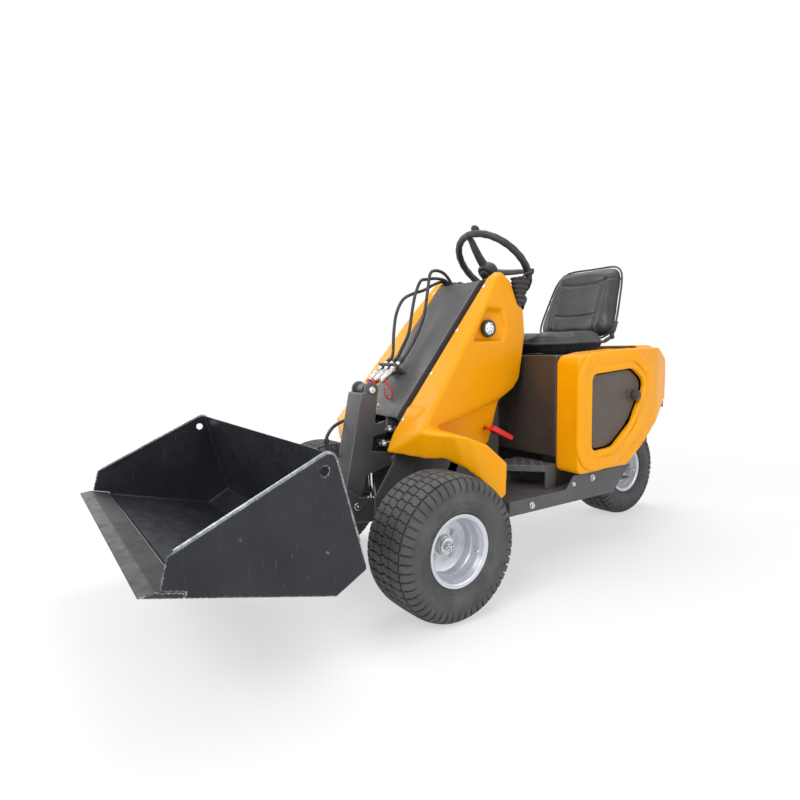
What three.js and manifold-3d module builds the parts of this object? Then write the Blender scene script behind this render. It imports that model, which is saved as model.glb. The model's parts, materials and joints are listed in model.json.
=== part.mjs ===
// Mini wheel loader, ride-on, three wheels: two driven front wheels and one steered rear wheel.
// Millimetres. X runs across the machine (+X is its left), the machine faces -Y, +Z is up.
// Pieces are laid out from the ground point under the front axle, and the finished group is moved
// so that its origin is at the middle of its plan, on the ground.
import * as THREE from 'three';
import { mergeVertices } from 'three/addons/utils/BufferGeometryUtils.js';
import { ConvexGeometry } from 'three/addons/geometries/ConvexGeometry.js';
import Module from 'manifold-3d';

const wasm = await Module();
wasm.setup();

// ---------------------------------------------------------------- driving dimensions
const TYRE_R = 228.6;
const TYRE_W = 212;
const RIM_R = 114.4;
const WHEELBASE = 1445;
const FRONT_WHEEL_X = 402;
const REAR_TYRE_W = 190;

const SEAM = 0.3;
const PIN_FIT = 0.5;
const RUNNING_GAP = 8;

const BOOM_HALF_W = 120;
const BOOM_PIVOT = [526, 1092];
const BOOM_FOOT = [21, 602];
const BOOM_SLOPE = THREE.MathUtils.degToRad(51.4);
const BOOM_PLATE = 6;
const BOOM_LENGTH = 638;

const LEG_PIVOT = [48, 566];
const LINK_DROP = [8, -125];
const LEG_HALF_W = 46.5;
const LEG_WALL = 8;
const TILT_BASE = [-30, 697];
const TILT_PIVOT = [-108, 292];
const TILT_ROD_END = [-2, 280];
const LIFT_BASE = [300, 346];
const LIFT_ROD_END = [392, 943];

const BUCKET_HALF_W = 548;
const BUCKET_CURL = THREE.MathUtils.degToRad(14);
const BUCKET_PLATE = 6;

const TOWER_PLATE = 10;
const TOWER_PLATE_X = BOOM_HALF_W + RUNNING_GAP;
const TOWER_OUTER_X = TOWER_PLATE_X + TOWER_PLATE;
const COVER_WALL = 5;

const BODY_HALF_W = 450;
const BODY_FRONT_Y = 600;
const BODY_WALL = 5;
const DECK_Z = 812;
const FLOOR_Z = 312;
const SKIRT_X = 415;
const SKIRT_BOTTOM_Z = 264;

const STEER_RING_R = 178;
const STEER_TUBE_R = 15;
const STEER_CENTRE = [606, 1187];
const STEER_RAKE = THREE.MathUtils.degToRad(43.8);

const SEAT_HALF_W = 232;
const SEAT_BASE_X = 345;
const HOOD_FRONT_Y = 1204;

// ---------------------------------------------------------------- materials
const paint = (color, roughness, metalness) => new THREE.MeshStandardMaterial({ color, roughness, metalness });
const YELLOW = paint(0xf5a400, 0.35, 0);
const CHARCOAL = paint(0x2c2e31, 0.5, 0.2);
const BUCKET_BLUE = paint(0x1c222b, 0.45, 0.3);
const STEEL = paint(0xb5b8bb, 0.35, 0.9);
const CHROME = paint(0xd9dcde, 0.12, 1);
const RUBBER = paint(0x1b1b1b, 0.85, 0);
const SILVER = paint(0xc3c6c9, 0.4, 0.6);
const VINYL = paint(0x1e1e20, 0.55, 0);
const PLASTIC = paint(0x2a2a2c, 0.6, 0);
const RED = paint(0xc62020, 0.4, 0);
const BRASS = paint(0xb58a3a, 0.35, 0.9);
const LENS = paint(0xe8edf2, 0.1, 0);

// ---------------------------------------------------------------- geometry helpers
function toSolid(geometry) {
  const bare = geometry.clone();
  bare.deleteAttribute('normal');
  bare.deleteAttribute('uv');
  const merged = mergeVertices(bare, 1e-4);
  const mesh = new wasm.Mesh({
    numProp: 3,
    vertProperties: new Float32Array(merged.attributes.position.array),
    triVerts: new Uint32Array(merged.index.array),
  });
  return new wasm.Manifold(mesh);
}

function toGeometry(solid) {
  const mesh = solid.getMesh();
  const geometry = new THREE.BufferGeometry();
  geometry.setAttribute('position', new THREE.BufferAttribute(new Float32Array(mesh.vertProperties), 3));
  geometry.setIndex(new THREE.BufferAttribute(new Uint32Array(mesh.triVerts), 1));
  geometry.computeVertexNormals();
  return geometry;
}

const union = (...solids) => solids.reduce((sum, solid) => sum.add(solid));
const cut = (base, ...tools) => tools.reduce((left, tool) => left.subtract(tool), base);

// A closed outline from rows [a, b, corner radius]; corners without a radius stay sharp.
function outline(rows) {
  const shape = new THREE.Shape();
  const count = rows.length;
  rows.forEach((row, i) => {
    const [before, after] = [rows[(i + count - 1) % count], rows[(i + 1) % count]];
    const corner = new THREE.Vector2(row[0], row[1]);
    const radius = row[2] || 0;
    if (radius === 0) {
      if (i === 0) shape.moveTo(corner.x, corner.y);
      else shape.lineTo(corner.x, corner.y);
      return;
    }
    const back = new THREE.Vector2(before[0], before[1]).sub(corner).normalize();
    const ahead = new THREE.Vector2(after[0], after[1]).sub(corner).normalize();
    const half = Math.acos(THREE.MathUtils.clamp(back.dot(ahead), -1, 1)) / 2;
    const reach = radius / Math.tan(half);
    const start = corner.clone().addScaledVector(back, reach);
    const end = corner.clone().addScaledVector(ahead, reach);
    const centre = corner.clone().addScaledVector(back.clone().add(ahead).normalize(), radius / Math.sin(half));
    if (i === 0) shape.moveTo(start.x, start.y);
    else shape.lineTo(start.x, start.y);
    const from = Math.atan2(start.y - centre.y, start.x - centre.x);
    const to = Math.atan2(end.y - centre.y, end.x - centre.x);
    const clockwise = back.cross(ahead) > 0;
    shape.absarc(centre.x, centre.y, radius, from, to, clockwise);
  });
  shape.closePath();
  return shape;
}

function extrude(shape, depth, segments = 4) {
  return new THREE.ExtrudeGeometry(shape, { depth, bevelEnabled: false, curveSegments: segments });
}

const AXES_X = new THREE.Matrix4().makeBasis(
  new THREE.Vector3(0, 1, 0), new THREE.Vector3(0, 0, 1), new THREE.Vector3(1, 0, 0));
const AXES_Y = new THREE.Matrix4().makeBasis(
  new THREE.Vector3(1, 0, 0), new THREE.Vector3(0, 0, 1), new THREE.Vector3(0, -1, 0));

// Side outline [y, z] drawn out across X from x0 to x1.
function prismX(rows, x0, x1, segments) {
  const geometry = extrude(outline(rows), x1 - x0, segments);
  return toSolid(geometry.applyMatrix4(AXES_X).translate(x0, 0, 0));
}

// Front outline [x, z] drawn out along Y from y0 to y1.
function prismY(rows, y0, y1, segments) {
  const geometry = extrude(outline(rows), y1 - y0, segments);
  return toSolid(geometry.applyMatrix4(AXES_Y).translate(0, y1, 0));
}

// Plan outline [x, y] drawn out along Z from z0 to z1.
function prismZ(rows, z0, z1, segments) {
  const geometry = extrude(outline(rows), z1 - z0, segments);
  return toSolid(geometry.translate(0, 0, z0));
}

function box(x0, x1, y0, y1, z0, z1) {
  const geometry = new THREE.BoxGeometry(x1 - x0, y1 - y0, z1 - z0);
  return toSolid(geometry.translate((x0 + x1) / 2, (y0 + y1) / 2, (z0 + z1) / 2));
}

function cylinderX([y, z], radius, x0, x1, segments = 24) {
  const geometry = new THREE.CylinderGeometry(radius, radius, x1 - x0, segments);
  return toSolid(geometry.rotateZ(-Math.PI / 2).translate((x0 + x1) / 2, y, z));
}

function cylinderZ([x, y], radius, z0, z1, segments = 24) {
  const geometry = new THREE.CylinderGeometry(radius, radius, z1 - z0, segments);
  return toSolid(geometry.rotateX(Math.PI / 2).translate(x, y, (z0 + z1) / 2));
}

function cylinderBetween(a, b, radius, segments = 20) {
  const [from, to] = [new THREE.Vector3(...a), new THREE.Vector3(...b)];
  const along = to.clone().sub(from);
  const geometry = new THREE.CylinderGeometry(radius, radius, along.length(), segments);
  const turn = new THREE.Quaternion().setFromUnitVectors(new THREE.Vector3(0, 1, 0), along.normalize());
  const middle = from.add(to).multiplyScalar(0.5);
  return toSolid(geometry.applyQuaternion(turn).translate(middle.x, middle.y, middle.z));
}

// A ring or disc turned about X from rows [radius, x] of a closed profile.
function turnedX(rows, segments = 48) {
  const closed = [...rows, rows[0]].map(([radius, x]) => new THREE.Vector2(radius, x));
  const geometry = new THREE.LatheGeometry(closed, segments).rotateZ(-Math.PI / 2);
  const solid = toSolid(geometry);
  return solid.volume() > 0 ? solid : toSolid(flipped(geometry));
}

function flipped(geometry) {
  const turned = geometry.clone();
  const index = turned.index.array;
  for (let i = 0; i < index.length; i += 3) {
    [index[i], index[i + 1]] = [index[i + 1], index[i]];
  }
  return turned;
}

function hull(points) {
  return toSolid(new ConvexGeometry(points.map((p) => new THREE.Vector3(...p))));
}

function pipe(points, radius, steps, sides = 8) {
  const section = new THREE.Shape();
  for (let i = 0; i < sides; i += 1) {
    const angle = (2 * Math.PI * i) / sides;
    const [a, b] = [radius * Math.cos(angle), radius * Math.sin(angle)];
    if (i === 0) section.moveTo(a, b);
    else section.lineTo(a, b);
  }
  section.closePath();
  const route = new THREE.CatmullRomCurve3(points.map((p) => new THREE.Vector3(...p)));
  return toSolid(new THREE.ExtrudeGeometry(section, { steps, bevelEnabled: false, extrudePath: route }));
}

const mirrored = (solid, side) => (side > 0 ? solid : solid.mirror([1, 0, 0]));

const model = new THREE.Group();

function addNode(name, solid, material, parent = model) {
  const mesh = new THREE.Mesh(toGeometry(solid), material);
  mesh.name = name;
  parent.add(mesh);
  return mesh;
}

const SIDES = [['left', 1], ['right', -1]];

// ---------------------------------------------------------------- wheels
function tyreSolid(width) {
  const half = width / 2;
  const bead = RIM_R - 10.5;
  const lip = half - 20;
  return turnedX([
    [bead, -lip], [RIM_R + 3, -lip], [140, -half + 2], [172, -half], [205, -half + 7], [222, -half + 26],
    [TYRE_R, -half + 58], [TYRE_R, half - 58], [222, half - 26], [205, half - 7], [172, half],
    [140, half - 2], [RIM_R + 3, lip], [bead, lip],
  ], 40);
}

function rimSolid(width, discX, boreR) {
  const lip = width / 2 - 20 + SEAM;
  const face = lip + 6;
  const [bead, barrel] = [RIM_R - 10.5 - SEAM, RIM_R - 18];
  return turnedX([
    [boreR, discX + 6], [barrel - 8, discX + 6], [barrel, discX + 14], [barrel, face], [RIM_R, face],
    [RIM_R, lip], [bead, lip], [bead, -lip], [RIM_R, -lip], [RIM_R, -face], [barrel, -face],
    [barrel, discX - 6], [barrel - 8, discX], [boreR, discX],
  ], 40);
}

const HUB_R = 32;
const RIM_DISC_X = 4;

function frontWheel(name, side) {
  const place = (solid) => mirrored(solid, side).translate([side * FRONT_WHEEL_X, 0, TYRE_R]);
  addNode(`front_${name}_tyre`, place(tyreSolid(TYRE_W)), RUBBER);
  addNode(`front_${name}_rim`, place(rimSolid(TYRE_W, RIM_DISC_X, HUB_R)), SILVER);
}

const MOTOR_R = 58;
const MOTOR_END_X = FRONT_WHEEL_X + RIM_DISC_X - 12;

// The hydraulic wheel motor: case, mounting flange and the hub that the rim is bolted to.
function wheelMotor(name, side) {
  const axle = [0, TYRE_R];
  const motor = union(
    cylinderX(axle, 78, TOWER_OUTER_X + SEAM, TOWER_OUTER_X + 14),
    cylinderX(axle, MOTOR_R, TOWER_OUTER_X + 10, MOTOR_END_X - 70),
    cylinderX(axle, 40, MOTOR_END_X - 72, MOTOR_END_X - 10));
  addNode(`${name}_wheel_motor`, mirrored(motor, side), CHARCOAL);
  const hub = union(
    cylinderX(axle, 62, MOTOR_END_X - 10 + SEAM, FRONT_WHEEL_X + RIM_DISC_X - SEAM),
    cylinderX(axle, HUB_R - 1, FRONT_WHEEL_X, FRONT_WHEEL_X + 26));
  addNode(`${name}_wheel_hub`, mirrored(hub, side), STEEL);
}

SIDES.forEach(([name, side]) => {
  frontWheel(name, side);
  wheelMotor(name, side);
});

// ---------------------------------------------------------------- rear wheel and its one-armed fork
const FORK_ARM_X = -124;
const CROWN_Z = 474;
const KINGPIN_R = 24;
const REAR_DECK_Z = 520;

function rearWheel() {
  const place = (solid) => solid.translate([0, WHEELBASE, TYRE_R]);
  addNode('rear_tyre', place(tyreSolid(REAR_TYRE_W)), RUBBER);
  addNode('rear_rim', place(rimSolid(REAR_TYRE_W, 20, HUB_R)), SILVER);
  const arm = prismX([
    [WHEELBASE - 44, TYRE_R, 30], [WHEELBASE, TYRE_R - 44, 30], [WHEELBASE + 44, TYRE_R, 30],
    [WHEELBASE + 60, CROWN_Z + 12], [WHEELBASE - 60, CROWN_Z + 12],
  ], FORK_ARM_X - 14, FORK_ARM_X, 3);
  const crown = prismZ([
    [FORK_ARM_X - 14, WHEELBASE - 60], [60, WHEELBASE - 60, 30], [60, WHEELBASE + 60, 30],
    [FORK_ARM_X - 14, WHEELBASE + 60],
  ], CROWN_Z, CROWN_Z + 14, 3);
  const kingpin = cylinderZ([0, WHEELBASE], KINGPIN_R, CROWN_Z + 10, REAR_DECK_Z + 60);
  const axle = cylinderX([WHEELBASE, TYRE_R], 16, FORK_ARM_X - 6, 0);
  addNode('rear_fork', union(arm, crown, kingpin, axle), CHARCOAL);
  const hub = cut(
    union(
      cylinderX([WHEELBASE, TYRE_R], 42, -100, 20 - SEAM),
      cylinderX([WHEELBASE, TYRE_R], HUB_R - 1, 10, 44)),
    cylinderX([WHEELBASE, TYRE_R], 16 + PIN_FIT, -110, 4));
  addNode('rear_hub', hub, STEEL);
}
rearWheel();

// ---------------------------------------------------------------- frame
const RAIL_X = 90;
const FRAME_FRONT_Y = 212;
const NECK_Y = 1150;

function mainFrame() {
  const rails = SIDES.map(([, side]) => mirrored(
    box(RAIL_X - 8, RAIL_X, FRAME_FRONT_Y, NECK_Y, 196, FLOOR_Z - 2), side));
  const floor = union(
    box(-RAIL_X, RAIL_X, FRAME_FRONT_Y, NECK_Y, FLOOR_Z - 6, FLOOR_Z),
    box(-SKIRT_X + 2, SKIRT_X - 2, 292, 980, FLOOR_Z - 6, FLOOR_Z));
  const skirts = SIDES.map(([, side]) => mirrored(prismX([
    [286, SKIRT_BOTTOM_Z], [862, SKIRT_BOTTOM_Z], [978, 366], [622, 366, 20], [580, 316, 20], [286, 316],
  ], SKIRT_X - 6, SKIRT_X, 3), side));
  const crossTies = [FRAME_FRONT_Y, 560, 900, NECK_Y - 8].map(
    (y) => box(-RAIL_X, RAIL_X, y, y + 8, 200, FLOOR_Z - 2));
  const outriggers = [300, 850].map((y) => box(-SKIRT_X + 2, SKIRT_X - 2, y, y + 8, 268, FLOOR_Z - 2));
  const neck = union(
    box(-150, 150, NECK_Y - 8, NECK_Y, 200, REAR_DECK_Z + 4),
    ...SIDES.map(([, side]) => mirrored(prismX([
      [980, FLOOR_Z - 4], [NECK_Y - 2, FLOOR_Z - 4], [NECK_Y - 2, REAR_DECK_Z], [1560, REAR_DECK_Z],
      [1560, REAR_DECK_Z + 50], [1100, REAR_DECK_Z + 50],
    ], 142, 150), side)),
    box(-150, 150, NECK_Y - 8, 1560, REAR_DECK_Z, REAR_DECK_Z + 8));
  const bearing = cylinderZ([0, WHEELBASE], KINGPIN_R + 14, REAR_DECK_Z - 20, REAR_DECK_Z + 44);
  const bore = cylinderZ([0, WHEELBASE], KINGPIN_R + PIN_FIT, REAR_DECK_Z - 40, REAR_DECK_Z + 80);
  addNode('main_frame', cut(union(...rails, floor, ...skirts, ...crossTies, ...outriggers, neck, bearing), bore),
    CHARCOAL);
}
mainFrame();

// ---------------------------------------------------------------- tower plates
const PIVOT_PIN_R = 18;
const LINK_PIN_R = 10;
const LINK_PIVOT = [BOOM_PIVOT[0] + LINK_DROP[0], BOOM_PIVOT[1] + LINK_DROP[1]];
const LIFT_PIN_R = 16;

function towerPlate(name, side) {
  const plate = prismX([
    [-78, 176, 20], [-78, 330], [6, 452, 8], [28, 548], [472, 1104], [505, 1132, 24], [562, 1096, 24],
    [592, 1046, 10], [592, 980, 20], [548, 830, 40], [505, 690, 40], [505, FLOOR_Z + SEAM], [FRAME_FRONT_Y - 6, FLOOR_Z + SEAM],
    [FRAME_FRONT_Y - 6, 176, 20],
  ], TOWER_PLATE_X, TOWER_OUTER_X, 3);
  const pivot = cylinderX(BOOM_PIVOT, PIVOT_PIN_R, TOWER_PLATE_X - 14, TOWER_PLATE_X + 4);
  addNode(`tower_${name}_plate`, mirrored(union(plate, pivot), side), CHARCOAL);
}
SIDES.forEach(([name, side]) => towerPlate(name, side));

// The cross tubes that tie the two tower plates and carry the lift cylinder's foot.
function towerTies() {
  const reach = TOWER_PLATE_X - SEAM;
  addNode('lift_base_pin', cylinderX(LIFT_BASE, LIFT_PIN_R, -reach, reach, 20), STEEL);
  addNode('tower_rear_tie', box(-reach, reach, 488, 496, FLOOR_Z + SEAM, 640), CHARCOAL);
}
towerTies();

// ---------------------------------------------------------------- boom
const boomGroup = new THREE.Group();
boomGroup.name = '';
const BOOM_U = [Math.cos(BOOM_SLOPE), Math.sin(BOOM_SLOPE)];

// Distance up the boom's plate, and height above its face, of a point [y, z].
function onBoom([y, z]) {
  const [dy, dz] = [y - BOOM_FOOT[0], z - BOOM_FOOT[1]];
  return [dy * BOOM_U[0] + dz * BOOM_U[1], -dy * BOOM_U[1] + dz * BOOM_U[0]];
}

// Turns a solid drawn in boom axes (y up the plate, z out of its face) into place.
function fromBoom(solid) {
  const degrees = THREE.MathUtils.radToDeg(BOOM_SLOPE);
  return solid.rotate([degrees, 0, 0]).translate([0, BOOM_FOOT[0], BOOM_FOOT[1]]);
}

function lug([s, n], radius, x0, x1, s0, s1) {
  return union(
    prismX([[s0, -BOOM_PLATE + 1], [s - radius, n], [s + radius, n], [s1, -BOOM_PLATE + 1]], x0, x1),
    cylinderX([s, n], radius, x0, x1));
}

function boom() {
  const [pivotS, pivotN] = onBoom(BOOM_PIVOT);
  const [legS, legN] = onBoom(LEG_PIVOT);
  const [liftS, liftN] = onBoom(LIFT_ROD_END);
  const plate = box(-BOOM_HALF_W, BOOM_HALF_W, 0, BOOM_LENGTH, -BOOM_PLATE, 0);
  const flange = (side) => mirrored(union(
    prismX([
      [0, 0], [BOOM_LENGTH, 0, 6], [pivotS + 30, pivotN + 20, 20], [pivotS, pivotN - 30, 12],
      [BOOM_LENGTH - 40, -116, 20], [40, -78, 20], [0, -50],
    ], BOOM_HALF_W - 8, BOOM_HALF_W, 3),
    cylinderX([pivotS, pivotN], 36, BOOM_HALF_W - 8, BOOM_HALF_W)), side);
  const inner = (side) => mirrored(union(
    prismX([[0, -2], [150, -2], [90, -70, 15], [legS, legN - 26], [legS - 20, legN]], 50, 58),
    cylinderX([legS, legN], 26, 50, 58)), side);
  const liftLug = (side) => mirrored(lug([liftS, liftN], 24, 22, 30, liftS - 60, liftS + 60), side);
  const bores = union(
    cylinderX([pivotS, pivotN], PIVOT_PIN_R + PIN_FIT, -140, 140));
  const legPin = cylinderX([legS, legN], 12, -58, 58, 20);
  const body = cut(union(plate, ...[1, -1].map(flange), ...[1, -1].map(inner), ...[1, -1].map(liftLug)), bores);
  addNode('boom', fromBoom(union(body, legPin)), CHARCOAL);
}
boom();

// ---------------------------------------------------------------- levelling link
const LINK_KNEE = [LEG_PIVOT[0] + LINK_DROP[0], LEG_PIVOT[1] + LINK_DROP[1]];

function levelLink() {
  const bars = SIDES.map(([, side]) => mirrored(union(
    hull([-1, 1].flatMap((k) => [66, 76].flatMap((x) => [
      [x, LINK_KNEE[0] + 11 * k, LINK_KNEE[1] - 10 * k],
      [x, LINK_PIVOT[0] + 11 * k, LINK_PIVOT[1] - 10 * k],
    ]))),
    cylinderX(LINK_KNEE, 20, 66, 76), cylinderX(LINK_PIVOT, 20, 66, 76)), side));
  const pins = union(
    cylinderX(LINK_KNEE, LINK_PIN_R, -70, 70, 16), cylinderX(LINK_PIVOT, LINK_PIN_R, -92, 92, 16));
  addNode('level_link', union(...bars, pins), CHARCOAL);
  const reach = TOWER_PLATE_X - SEAM;
  const saddle = SIDES.map(([, side]) => mirrored(cut(
    union(cylinderX(LINK_PIVOT, 18, 78, reach), box(78, 84, LINK_PIVOT[0] - 10, 555, LINK_PIVOT[1] - 18,
      LINK_PIVOT[1] + 18)),
    cylinderX(LINK_PIVOT, LINK_PIN_R + PIN_FIT, 60, 94, 16)), side));
  saddle.forEach((solid, i) => addNode(`link_boss_${SIDES[i][0]}`, solid, CHARCOAL));
}
levelLink();

// ---------------------------------------------------------------- leg
const LEG_OUTLINE = [
  [-72, 688, 4], [-56, 690], [TILT_BASE[0], 697], [0, 697], [-6, 660], [-18, 572, 10], [LEG_PIVOT[0] - 8, 588, 8],
  [LEG_PIVOT[0] + 24, LEG_PIVOT[1], 10], [LEG_PIVOT[0] + 6, 540], [-25, 530], [-32, 478],
  [LINK_KNEE[0], LINK_KNEE[1] + 22], [LINK_KNEE[0] + 20, LINK_KNEE[1], 8], [LINK_KNEE[0], LINK_KNEE[1] - 20],
  [-58, 392], [-68, 345], [-82, 300], [-82, 270, 10], [TILT_PIVOT[0], 262, 10], [-136, 276, 10], [-152, 300],
];

function leg() {
  const body = union(
    prismX(LEG_OUTLINE, -LEG_HALF_W, LEG_HALF_W, 3), cylinderX(TILT_BASE, 30, -LEG_HALF_W, LEG_HALF_W, 18));
  const inside = LEG_HALF_W - LEG_WALL;
  const channel = prismX([
    [-90, 760], [-90, 690], [-62, 690], [-143, 306], [-150, 200], [200, 200], [200, 760],
  ], -inside, inside);
  const bores = union(
    cylinderX(LEG_PIVOT, 12 + PIN_FIT, -60, 60, 20),
    cylinderX(LINK_KNEE, LINK_PIN_R + PIN_FIT, -60, 60, 16));
  const tiltPin = cylinderX(TILT_PIVOT, 14, -66, 66, 20);
  const basePin = cylinderX(TILT_BASE, 12, -LEG_HALF_W - 4, LEG_HALF_W + 4, 20);
  addNode('leg', union(cut(body, channel, bores), tiltPin, basePin), CHARCOAL);
}
leg();

// ---------------------------------------------------------------- cylinders
// A point on the line from a to b, a given distance from a, at x = 0.
function along(a, b, distance) {
  const length = Math.hypot(b[0] - a[0], b[1] - a[1]);
  const k = distance / length;
  return [0, a[0] + (b[0] - a[0]) * k, a[1] + (b[1] - a[1]) * k];
}

function hydraulicCylinder(prefix, size) {
  const { foot, head, footPinR, barrelR, barrelEnd, rodStart, rodR, eyeHalfW, eyeR } = size;
  const length = Math.hypot(head[0] - foot[0], head[1] - foot[1]);
  const footHole = cylinderX(foot, footPinR + PIN_FIT, -60, 60, 20);
  const barrel = union(
    cylinderX(foot, eyeR, -eyeHalfW, eyeHalfW),
    cylinderBetween(along(foot, head, eyeR * 0.5), along(foot, head, barrelEnd), barrelR));
  const bore = cylinderBetween(
    along(foot, head, eyeR + 14), along(foot, head, barrelEnd + 10), rodR + SEAM);
  addNode(`${prefix}_barrel`, cut(barrel, footHole, bore), CHARCOAL);
  const rod = union(
    cylinderBetween(along(foot, head, rodStart), along(foot, head, length - eyeR * 0.5), rodR),
    cylinderX(head, eyeR - 2, -eyeHalfW, eyeHalfW));
  addNode(`${prefix}_rod`, rod, CHROME);
}

hydraulicCylinder('tilt', {
  foot: TILT_BASE, head: TILT_ROD_END, footPinR: 12, barrelR: 24, barrelEnd: 253, rodStart: 150, rodR: 12.5,
  eyeHalfW: 18, eyeR: 22,
});
hydraulicCylinder('lift', {
  foot: LIFT_BASE, head: LIFT_ROD_END, footPinR: LIFT_PIN_R, barrelR: 32, barrelEnd: 540, rodStart: 225, rodR: 17.5,
  eyeHalfW: 18, eyeR: 26,
});

// ---------------------------------------------------------------- carriage and bucket, drawn level about the tilt pin
// Rows [y, z] from the tilt pin with the bucket's floor level.
const FLOOR_DROP = -148;
const BUCKET_HEEL = [-316, FLOOR_DROP];
const BUCKET_BACK_FOOT = [-240, -77];
const BUCKET_APEX = [-405, 217];
const BUCKET_NOSE = [-744, -60];
const EDGE_TIP = -787;
const EDGE_THICK = 14;

const fromBucket = (solid) => solid
  .rotate([-THREE.MathUtils.radToDeg(BUCKET_CURL), 0, 0])
  .translate([0, TILT_PIVOT[0], TILT_PIVOT[1]]);

const BACK_LENGTH = Math.hypot(BUCKET_APEX[0] - BUCKET_BACK_FOOT[0], BUCKET_APEX[1] - BUCKET_BACK_FOOT[1]);
const BACK_U = [
  (BUCKET_APEX[0] - BUCKET_BACK_FOOT[0]) / BACK_LENGTH,
  (BUCKET_APEX[1] - BUCKET_BACK_FOOT[1]) / BACK_LENGTH,
];

// A point a distance up the bucket's back and a distance behind it.
function onBack(up, behind) {
  return [
    BUCKET_BACK_FOOT[0] + BACK_U[0] * up + BACK_U[1] * behind,
    BUCKET_BACK_FOOT[1] + BACK_U[1] * up - BACK_U[0] * behind,
  ];
}

const ADAPTER_THICK = 10;
const CARRIAGE_THICK = 12;
const CARRIAGE_HALF_W = 230;

function bucket() {
  const side = [
    [...BUCKET_HEEL], [...BUCKET_BACK_FOOT, 10], [...BUCKET_APEX, 24], [...BUCKET_NOSE, 8],
    [BUCKET_NOSE[0], FLOOR_DROP + EDGE_THICK + SEAM], [-690, FLOOR_DROP + EDGE_THICK + SEAM], [-690, FLOOR_DROP],
  ];
  const t = BUCKET_PLATE;
  const cavity = [
    [BUCKET_HEEL[0] - 3, FLOOR_DROP + t], [BUCKET_BACK_FOOT[0] - t - 2, BUCKET_BACK_FOOT[1] + 2],
    [BUCKET_APEX[0] - 12, BUCKET_APEX[1] + 8], [-500, 400], [-900, 400], [-900, FLOOR_DROP + EDGE_THICK + SEAM],
    [-690, FLOOR_DROP + EDGE_THICK + SEAM], [-680, FLOOR_DROP + t],
  ];
  const inner = BUCKET_HALF_W - t;
  const holes = cylinderX([-417, 157], 12, -600, 600, 16);
  addNode('bucket', fromBucket(cut(prismX(side, -BUCKET_HALF_W, BUCKET_HALF_W, 3), prismX(cavity, -inner, inner),
    holes)), BUCKET_BLUE);
  const edge = prismX([
    [EDGE_TIP, FLOOR_DROP], [-690 - SEAM, FLOOR_DROP], [-690 - SEAM, FLOOR_DROP + EDGE_THICK],
    [-752, FLOOR_DROP + EDGE_THICK],
  ], -BUCKET_HALF_W, BUCKET_HALF_W);
  addNode('cutting_edge', fromBucket(edge), STEEL);
  const adapter = prismX([onBack(36, SEAM), onBack(36, ADAPTER_THICK), onBack(296, ADAPTER_THICK), onBack(296, SEAM)],
    -CARRIAGE_HALF_W - 20, CARRIAGE_HALF_W + 20);
  addNode('bucket_adapter', fromBucket(adapter), BUCKET_BLUE);
}
bucket();

function carriage() {
  const [near, far] = [ADAPTER_THICK + SEAM, ADAPTER_THICK + CARRIAGE_THICK];
  const plate = prismX([onBack(30, near), onBack(30, far), onBack(290, far), onBack(290, near)],
    -CARRIAGE_HALF_W, CARRIAGE_HALF_W);
  const [rodY, rodZ] = [TILT_ROD_END[0] - TILT_PIVOT[0], TILT_ROD_END[1] - TILT_PIVOT[1]];
  const lever = [
    rodY * Math.cos(BUCKET_CURL) - rodZ * Math.sin(BUCKET_CURL),
    rodY * Math.sin(BUCKET_CURL) + rodZ * Math.cos(BUCKET_CURL),
  ];
  const ear = (side) => mirrored(prismX([
    onBack(34, far - 1), [-40, -66, 30], [lever[0] - 20, -50, 20], [lever[0] + 24, lever[1] - 10, 16],
    [lever[0] + 20, lever[1] + 24, 14], [4, 32, 20], [-60, 60, 30], onBack(280, far - 1),
  ], 50, 62, 3), side);
  const leverPin = (side) => mirrored(cylinderX(lever, 14, 20, 54, 20), side);
  const bore = cylinderX([0, 0], 14 + PIN_FIT, -80, 80, 20);
  const solid = union(plate, ...[1, -1].map((side) => cut(ear(side), bore)), ...[1, -1].map(leverPin));
  addNode('quick_attach', fromBucket(solid), CHARCOAL);
}
carriage();

// ---------------------------------------------------------------- auxiliary couplers and hoses on the boom
const COUPLER_X = [2, -38, -78];
const COUPLER_LOW = [38, 722];
const COUPLER_HIGH = [122, 792];

function couplers() {
  const bracket = fromBoom(cut(
    box(-96, 20, 186, 194, SEAM, 62),
    ...COUPLER_X.map((x) => cylinderX([0, 0], 1, -1, 1).translate([x, 900, 0]))));
  const [low, high] = [COUPLER_LOW, COUPLER_HIGH];
  const bodies = COUPLER_X.map((x) => cylinderBetween([x, ...low], [x, ...high], 13, 16));
  const holes = COUPLER_X.map((x) => cylinderBetween([x, ...low], [x, ...high], 13 + SEAM, 16));
  addNode('coupler_bracket', cut(bracket, ...holes), CHARCOAL);
  bodies.forEach((solid, i) => addNode(`coupler_${i + 1}`, solid, STEEL));
}
couplers();

// Each hose: from its coupler up the boom, over the top of its plate and down between its flanges.
const HOSE_R = 6.5;
const HOSE_ROUTES = [
  [[2, 122.5, 792.4], [2, 141, 808], [-10, 181, 845], [-24, 230, 905], [-38, 271, 975], [-54, 303, 1075],
    [-62, 322, 1140], [-66, 352, 1156], [-70, 395, 1150], [-73, 432, 1122], [-74, 450, 1085]],
  [[-38, 122.5, 792.4], [-38, 141, 808], [-44, 166, 843], [-54, 207, 905], [-68, 234, 985], [-78, 258, 1055],
    [-84, 290, 1112], [-86, 325, 1122], [-87, 375, 1128], [-88, 425, 1120], [-89, 448, 1085]],
  [[-78, 122.5, 792.4], [-78, 141, 808], [-84, 153, 835], [-94, 164, 905], [-98, 180, 980], [-100, 214, 1037],
    [-101, 264, 1063], [-102, 320, 1080], [-102, 372, 1105], [-103, 420, 1118], [-104, 444, 1090]],
];

function hoses() {
  HOSE_ROUTES.forEach((route, i) => addNode(`hose_${i + 1}`, pipe(route, HOSE_R, 24), RUBBER));
}
hoses();

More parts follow.
